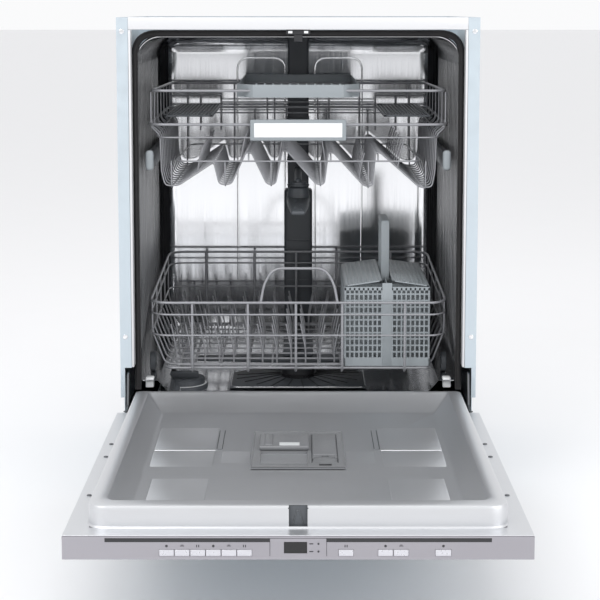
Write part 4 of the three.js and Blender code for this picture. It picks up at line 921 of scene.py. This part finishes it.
def upper_basket():
    top = UPPER_TOP
    thick = [loop(248, FRONT, BACK, 30, top, top - 6)]
    thick.append(loop(252, FRONT, BACK, 30, 640.6, 645))
    wires("Upper_basket_frame", thick, 4.8, WIRE, "upper_basket", ("upper_basket",), 3)
    thin = [loop(240, FRONT + 2, BACK - 2, 30, 618.6, 634)]
    thin.append(loop(208, FRONT + 8, BACK - 14, 26, 578, 574))
    for x in (-215.0, -124.0, -46.0, 38.0, 119.0, 216.0):
        foot = floor_height(x) - 3.2
        points = [(x, FRONT + 10, 578), (x, FRONT + 14, foot), (x, BACK - 16, foot), (x, BACK - 4, 600),
                  (x, BACK - 1, top - 6)]
        thin.append((bend(points, 12), False))
    for x in (-84.0, -23.0, 55.0, 135.0):
        foot = floor_height(x) - 3.2
        points = [(x, FRONT + 10, 578), (x, FRONT + 14, foot), (x, BACK - 16, foot), (x, BACK - 4, 640)]
        thin.append((bend(points, 12), False))
    for x0, x1, z in ((-246, -150, 668), (-150, 150, 655), (150, 246, 668)):
        thin.append(([(x0, BACK - 2, z), (x1, BACK - 2, z)], False))
    for x in (-190.0, -150.0, -60.0, 60.0, 150.0, 190.0):
        thin.append(([(x, BACK - 1, 600), (x, BACK - 1, 668)], False))
    for k in range(13):
        y = FRONT + 16 + k * (BACK - FRONT - 32) / 12
        outer = 251 if k % 2 else 249
        points = [(-outer, y, 645 if k % 2 else top - 3), (-outer, y, 636), (-234, y, 622), (-232, y, 560)]
        points += [(x, y, z) for x, z in ZIGZAG]
        points += [(232, y, 560), (234, y, 622), (outer, y, 636), (outer, y, 645 if k % 2 else top - 3)]
        thin.append((bend(points, 7, steps=4), False))
    wires("Upper_basket_wires", thin, 2.8, WIRE, "upper_basket")
    tines = []
    for x, lean in ((-172.0, 10.0), (-98.0, 8.0), (-34.0, 6.0), (47.0, -6.0), (104.0, 9.0), (170.0, 10.0)):
        foot = floor_height(x)
        for k in range(8):
            y = FRONT + 34 + k * (BACK - FRONT - 68) / 7
            points = [(x, y, foot), (x + lean * 0.3, y, foot + 22), (x + lean, y, foot + 46)]
            tines.append((bend(points, 10, steps=3), False))
    wires("Upper_basket_tines", tines, 3.0, WIRE, "upper_basket", sides=1)
    low, high = span("upper_basket_handle")
    bm = bmesh.new()
    block(bm, low, high, 2.6, 4)
    finished("Upper_handle_frame", bm, finishes["grey_plastic"], "upper_basket",
             ("upper_basket_handle",))
    bm = bmesh.new()
    block(bm, (low.x + 7, low.y - 0.8, low.z + 6), (high.x - 7, low.y + 1.5, high.z - 6), 0.7, 3)
    finished("Upper_handle_insert", bm, finishes["white_plastic"], "upper_basket")
    low, high = span("utensil_tray")
    bm = bmesh.new()
    block(bm, (-76, low.y, low.z), (76, low.y + 3, high.z - 2), 1.0, 2)
    for side in (-1, 1):
        block(bm, (side * 101.0, low.y + 30, low.z), (side * 103.5, high.y, high.z - 2), 0.8, 2)
        wing = turned((side * 76, low.y, 0), side * 0.84, "Z")
        block(bm, (side * 76.0, low.y, low.z), (side * 116.0, low.y + 2.5, high.z - 2), 0.8, 2, wing)
    block(bm, (-103, high.y - 3, low.z), (103, high.y, high.z - 2), 0.8, 2)
    for k in range(22):
        y = low.y + 22 + k * (high.y - low.y - 30) / 21
        block(bm, (-101, y - 1.2, low.z), (101, y + 1.2, low.z + 2.4))
    for k in range(9):
        x = -92 + k * 23.0
        block(bm, (x - 1.2, low.y + 3, low.z + 0.2), (x + 1.2, high.y - 2, low.z + 2.2))
    for k in range(11):
        x = -70 + k * 14.0
        block(bm, (x - 1.3, low.y + 3, low.z + 2), (x + 1.3, low.y + 6, high.z), 0.4, 1)
    finished("Utensil_tray", bm, finishes["grey_plastic"], "upper_basket", ("utensil_tray",))
    for label, side in (("left", -1), ("right", 1)):
        node = "rail_" + label
        low, high = span(node)
        bm = bmesh.new()
        block(bm, (low.x + 1.5, low.y + 4, low.z + 3), (high.x - 1.5, high.y, high.z - 3), 2.0, 3)
        finished(node.title(), bm, finishes["spring_steel"], node, (node,))
        bm = bmesh.new()
        block(bm, (low.x, low.y - 1, low.z), (high.x, low.y + 12, high.z), 5.4, 5)
        finished("Rail_cap_" + label, bm, finishes["grey_plastic"], node)
        node = "cup_shelf_" + label
        low, high = span(node)
        bm = bmesh.new()
        for k in range(13):
            x = low.x + 2 + k * (high.x - low.x - 4) / 12
            block(bm, (x - 1.1, low.y + 1, low.z), (x + 1.1, high.y - 1, low.z + 2.4))
        for k in range(31):
            y = low.y + 2 + k * (high.y - low.y - 4) / 30
            block(bm, (low.x + 1, y - 1.1, low.z + 0.2), (high.x - 1, y + 1.1, low.z + 2.2))
        for y in (low.y, high.y - 5):
            block(bm, (low.x, y, low.z), (high.x, y + 5, high.z), 0.6, 1)
        for x in (low.x, high.x - 5):
            block(bm, (x, low.y, low.z), (x + 5, high.y, high.z), 0.6, 1)
        finished(node.title(), bm, finishes["dark_grey_plastic"], node, (node,))


upper_basket()


# ------------------------------------------------------------------ floor, light and camera

def studio():
    bm = bmesh.new()
    bmesh.ops.create_grid(bm, x_segments=2, y_segments=2, size=70.0)
    mesh = bpy.data.meshes.new("Studio_floor")
    bm.to_mesh(mesh)
    bm.free()
    mesh.materials.append(surface("Studio_paint", (0.86, 0.86, 0.87), 0.0, 0.75, 0.05, scale=8.0,
                                  bump=0.0, blotch=0.01, edge_lightening=0.0))
    floor = bpy.data.objects.new("Studio_floor", mesh)
    bpy.context.scene.collection.objects.link(floor)
    world = bpy.data.worlds.new("Studio_world")
    bpy.context.scene.world = world
    world.use_nodes = True
    bpy.context.scene.view_settings.view_transform = "Standard"
    back = world.node_tree.nodes["Background"]
    back.inputs["Color"].default_value = (0.99, 0.992, 1.0, 1.0)
    back.inputs["Strength"].default_value = 0.97
    for name, place, aim, size, power in (
            ("Key", (-1.9, -2.6, 2.7), (0.0, 0.1, 0.45), 1.8, 40.0),
            ("Fill", (2.2, -2.2, 1.7), (0.0, 0.1, 0.4), 2.2, 24.0),
            ("Top", (0.0, -0.5, 3.1), (0.0, 0.1, 0.3), 2.0, 18.0)):
        lamp = bpy.data.lights.new(name, "AREA")
        lamp.size = size
        lamp.energy = power
        light = bpy.data.objects.new(name, lamp)
        bpy.context.scene.collection.objects.link(light)
        light.location = place
        direction = Vector(aim) - Vector(place)
        light.rotation_euler = direction.to_track_quat("-Z", "Y").to_euler()


def camera():
    view = bpy.data.cameras.new("Camera")
    view.lens = 95.95
    view.sensor_width = 36.0
    view.shift_x = 0.003
    view.shift_y = -0.1667
    view.clip_end = 200.0
    eye = bpy.data.objects.new("Camera", view)
    bpy.context.scene.collection.objects.link(eye)
    eye.location = at(0.0, -2639.0, 829.7)
    eye.rotation_euler = (math.radians(90.0 - 6.728), 0.0, 0.0)
    bpy.context.scene.camera = eye


studio()
camera()
